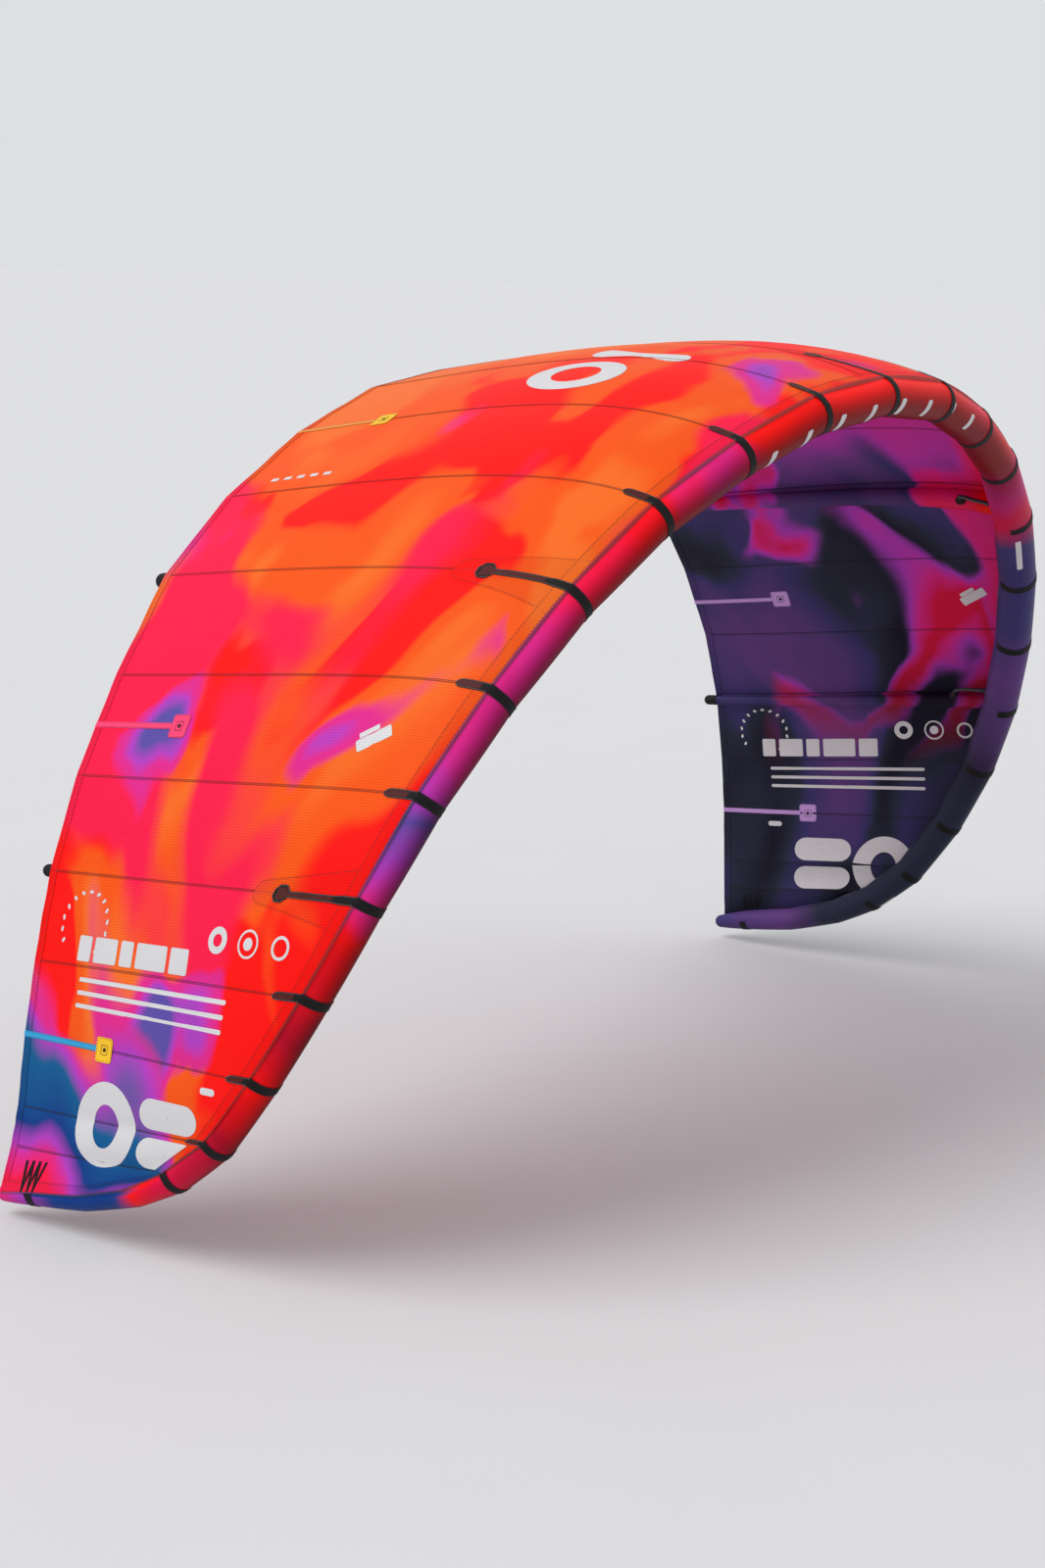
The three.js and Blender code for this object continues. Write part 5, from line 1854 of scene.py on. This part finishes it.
def outline_line(u, v, outline, lift):
    shape = np.array([*outline, outline[0]])
    return skin(*cloth_place(u + shape[:, 0], v + shape[:, 1]), lift)


def tail_lines(along):
    """Round the border of a tail, up one side and down the other."""
    at, half = tail_profile(along in STRUT_SEAMS, 40)
    share = share_from_tube(along, at * tail_length(along))
    inset = np.maximum(half - 2.2 * MM, 0.6 * MM) * per_metre(along, share)
    sides = [skin(along + way * inset, share, WINDOW_LIFT) for way in (-1, 1)]
    return [np.concatenate([sides[0], sides[1][::-1]])]

# %% [markdown]
# All is sewn with a few kinds of thread. The seams and edges have long stitches that show from
# afar, and the tapes and pockets have finer ones. The tails have a paler thread.

# %% Sewing
# distance between stitches, length of one, radius of the thread
LONG_STITCH = (10 * MM, 7 * MM, 0.55 * MM)
EDGE_STITCH = (11 * MM, 7.5 * MM, 0.55 * MM)
TAPE_STITCH = (8 * MM, 5 * MM, 0.5 * MM)
FINE_STITCH = (7 * MM, 4.6 * MM, 0.45 * MM)
SEAM_THREAD_LIFT = SEAM_LIFT + SEAM_THICK / 2 + 0.2 * MM


def seam_lines(face):
    """Two rows along each panel seam."""
    lift, apart = face * SEAM_THREAD_LIFT, 2.2 * MM
    return [rib_line(rib, side, lift) for rib in range(-RIBS, RIBS + 1) for side in (-apart, apart)]


def edge_lines(face):
    """Along both sides of the band and of the hem, and round the patches."""
    lines = band_lines(BAND_WIDTH - 4 * MM, face * (BAND_LIFT + 0.35 * MM))
    lines += band_lines(5 * MM, face * (BAND_LIFT + 0.6 * MM))
    lines += [hem_line(d, face * (SEAM_LIFT * 2 + 0.35 * MM)) for d in (HEM_WIDTH - 3 * MM, 7 * MM)]
    for rib in STRUT_SEAMS:
        lines += patch_lines(rib, 4 * MM, face * (PATCH_LIFT + 0.3 * MM))
    return lines


def pocket_lines(rib):
    """Down both sides of a batten pocket and round its patch, on both faces."""
    lines = []
    border = rounded_box(BATTEN_PATCH / 2 - 3 * MM, BATTEN_PATCH / 2 - 3 * MM, 7 * MM)
    share = share_from_edge(rib, np.linspace(0.01, BATTEN_LENGTH - BATTEN_PATCH, 24))
    for face in FACES.values():
        lines.append(outline_line(*batten_place(rib), border, face * (BATTEN_LIFT + 0.85 * MM)))
        for way in (-1, 1):
            x = rib + way * (BATTEN_WIDTH / 2 - 2 * MM) * per_metre(rib, share)
            lines.append(skin(x, share, face * (BATTEN_LIFT + 0.6 * MM)))
    return lines


for n, (title, face) in enumerate(FACES.items()):
    sew(f"seam_stitches_{title}", seam_lines(face), *LONG_STITCH, THREAD, 11 + n)
    sew(f"edge_stitches_{title}", edge_lines(face), *EDGE_STITCH, THREAD, 21 + n)
sew("tape_stitches", TAPE_LINES, *TAPE_STITCH, THREAD, 31)
tails = [line for along in TAPE_SEAMS if tail_length(along) for line in tail_lines(along)]
sew("tail_stitches", tails, *FINE_STITCH, PALE_THREAD, 41)
pockets = [line for rib, *_ in BATTENS.values() for line in pocket_lines(rib)]
sew("batten_stitches", pockets, *FINE_STITCH, THREAD, 51)

# %% [markdown]
# Every piece rides on the one body of this kite, and where a piece stands in for a solid of the
# imported model, that solid is hidden.

# %% Pieces and bodies
SIDES = ("left", "right")
REPLACED = {"canopy_sheet": "canopy", "front_tube": "leading_edge"}
REPLACED.update({f"tape_{tape_name(along)}": f"seam_tape_{tape_name(along)}" for along in TAPE_SEAMS})
for place in STRUTS:
    REPLACED[f"strut_tube_{place}"] = f"strut_{place}"
    REPLACED[f"end_sleeve_{place}"] = f"strut_cap_{place}"
    REPLACED[f"hose_pipe_{place}"] = f"hose_{place}"
for place in BATTENS:
    REPLACED[f"batten_strip_{place}"] = f"batten_{place}"
for face in FACES:
    for side in SIDES:
        REPLACED[f"webbing_fan_{face}_{side}"] = f"tip_webbing_{face}_{side}"
for name, piece in PIECES.items():
    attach(piece, "root")
    if name in REPLACED:
        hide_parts(REPLACED[name])
print("pieces:", len(PIECES), "solids replaced:", len(REPLACED))

# %% [markdown]
# The kite is shown over a plain pale floor, just clear of its tips. The light is soft: an even
# white surround, a broad sun high on the camera's left, which puts the long shine on the front
# tube, and a weaker one from low behind the camera, which keeps the hollow of the arch readable.

# %% Floor and light
FLOOR_GAP = 0.04
FLOOR_HALF = 60.0


def make_floor():
    z = cad_low[2] - FLOOR_GAP
    corners = [(x, y, z) for x, y in ((-1, -1), (1, -1), (1, 1), (-1, 1))]
    mesh = bpy.data.meshes.new("floor")
    mesh.from_pydata([(x * FLOOR_HALF, y * FLOOR_HALF, z) for x, y, z in corners], [], [(0, 1, 2, 3)])
    made, t, shader = new_material("floor_paint", Roughness=0.9)
    grain = t.fac(t.node("ShaderNodeTexCoord").outputs["Object"], 2.0, 3.0)
    t.put(shader.inputs["Base Color"], t.mix(grain, (0.63, 0.63, 0.64), (0.61, 0.61, 0.62)))
    mesh.materials.append(made)
    floor = bpy.data.objects.new("floor", mesh)
    scene.collection.objects.link(floor)
    floor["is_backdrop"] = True


def make_sun(name, direction, softness, strength):
    """An even lamp; softness is how wide it looks, in degrees."""
    data = bpy.data.lights.new(name, "SUN")
    data.angle, data.energy = math.radians(softness), strength
    lamp = bpy.data.objects.new(name, data)
    lamp.rotation_euler = Vector(direction).to_track_quat("-Z", "Y").to_euler()
    scene.collection.objects.link(lamp)


def make_world():
    world = bpy.data.worlds.new("studio")
    world.use_nodes = True
    background = world.node_tree.nodes["Background"]
    background.inputs["Color"].default_value = (0.97, 0.98, 1.0, 1)
    background.inputs["Strength"].default_value = 0.82
    scene.world = world


make_floor()
make_world()
make_sun("key", (0.55, -0.3, -0.8), 40, 1.9)
make_sun("fill", (0.75, 0.45, 0.12), 60, 0.35)
scene.view_settings.view_transform = "Standard"
scene.view_settings.look = "None"
scene.view_settings.exposure = -0.12

# %% [markdown]
# The box of the dressed kite is measured next to the CAD model's box. They should differ by a few
# millimetres only, which are the strips and stitches on the cloth.

# %% Sizes
visual_low, visual_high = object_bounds()
grown = [round(1000 * (a - b), 1) for a, b in zip((*cad_low, *visual_high), (*visual_low, *cad_high))]
print("the visual model reaches past the CAD box by, in mm:", grown)
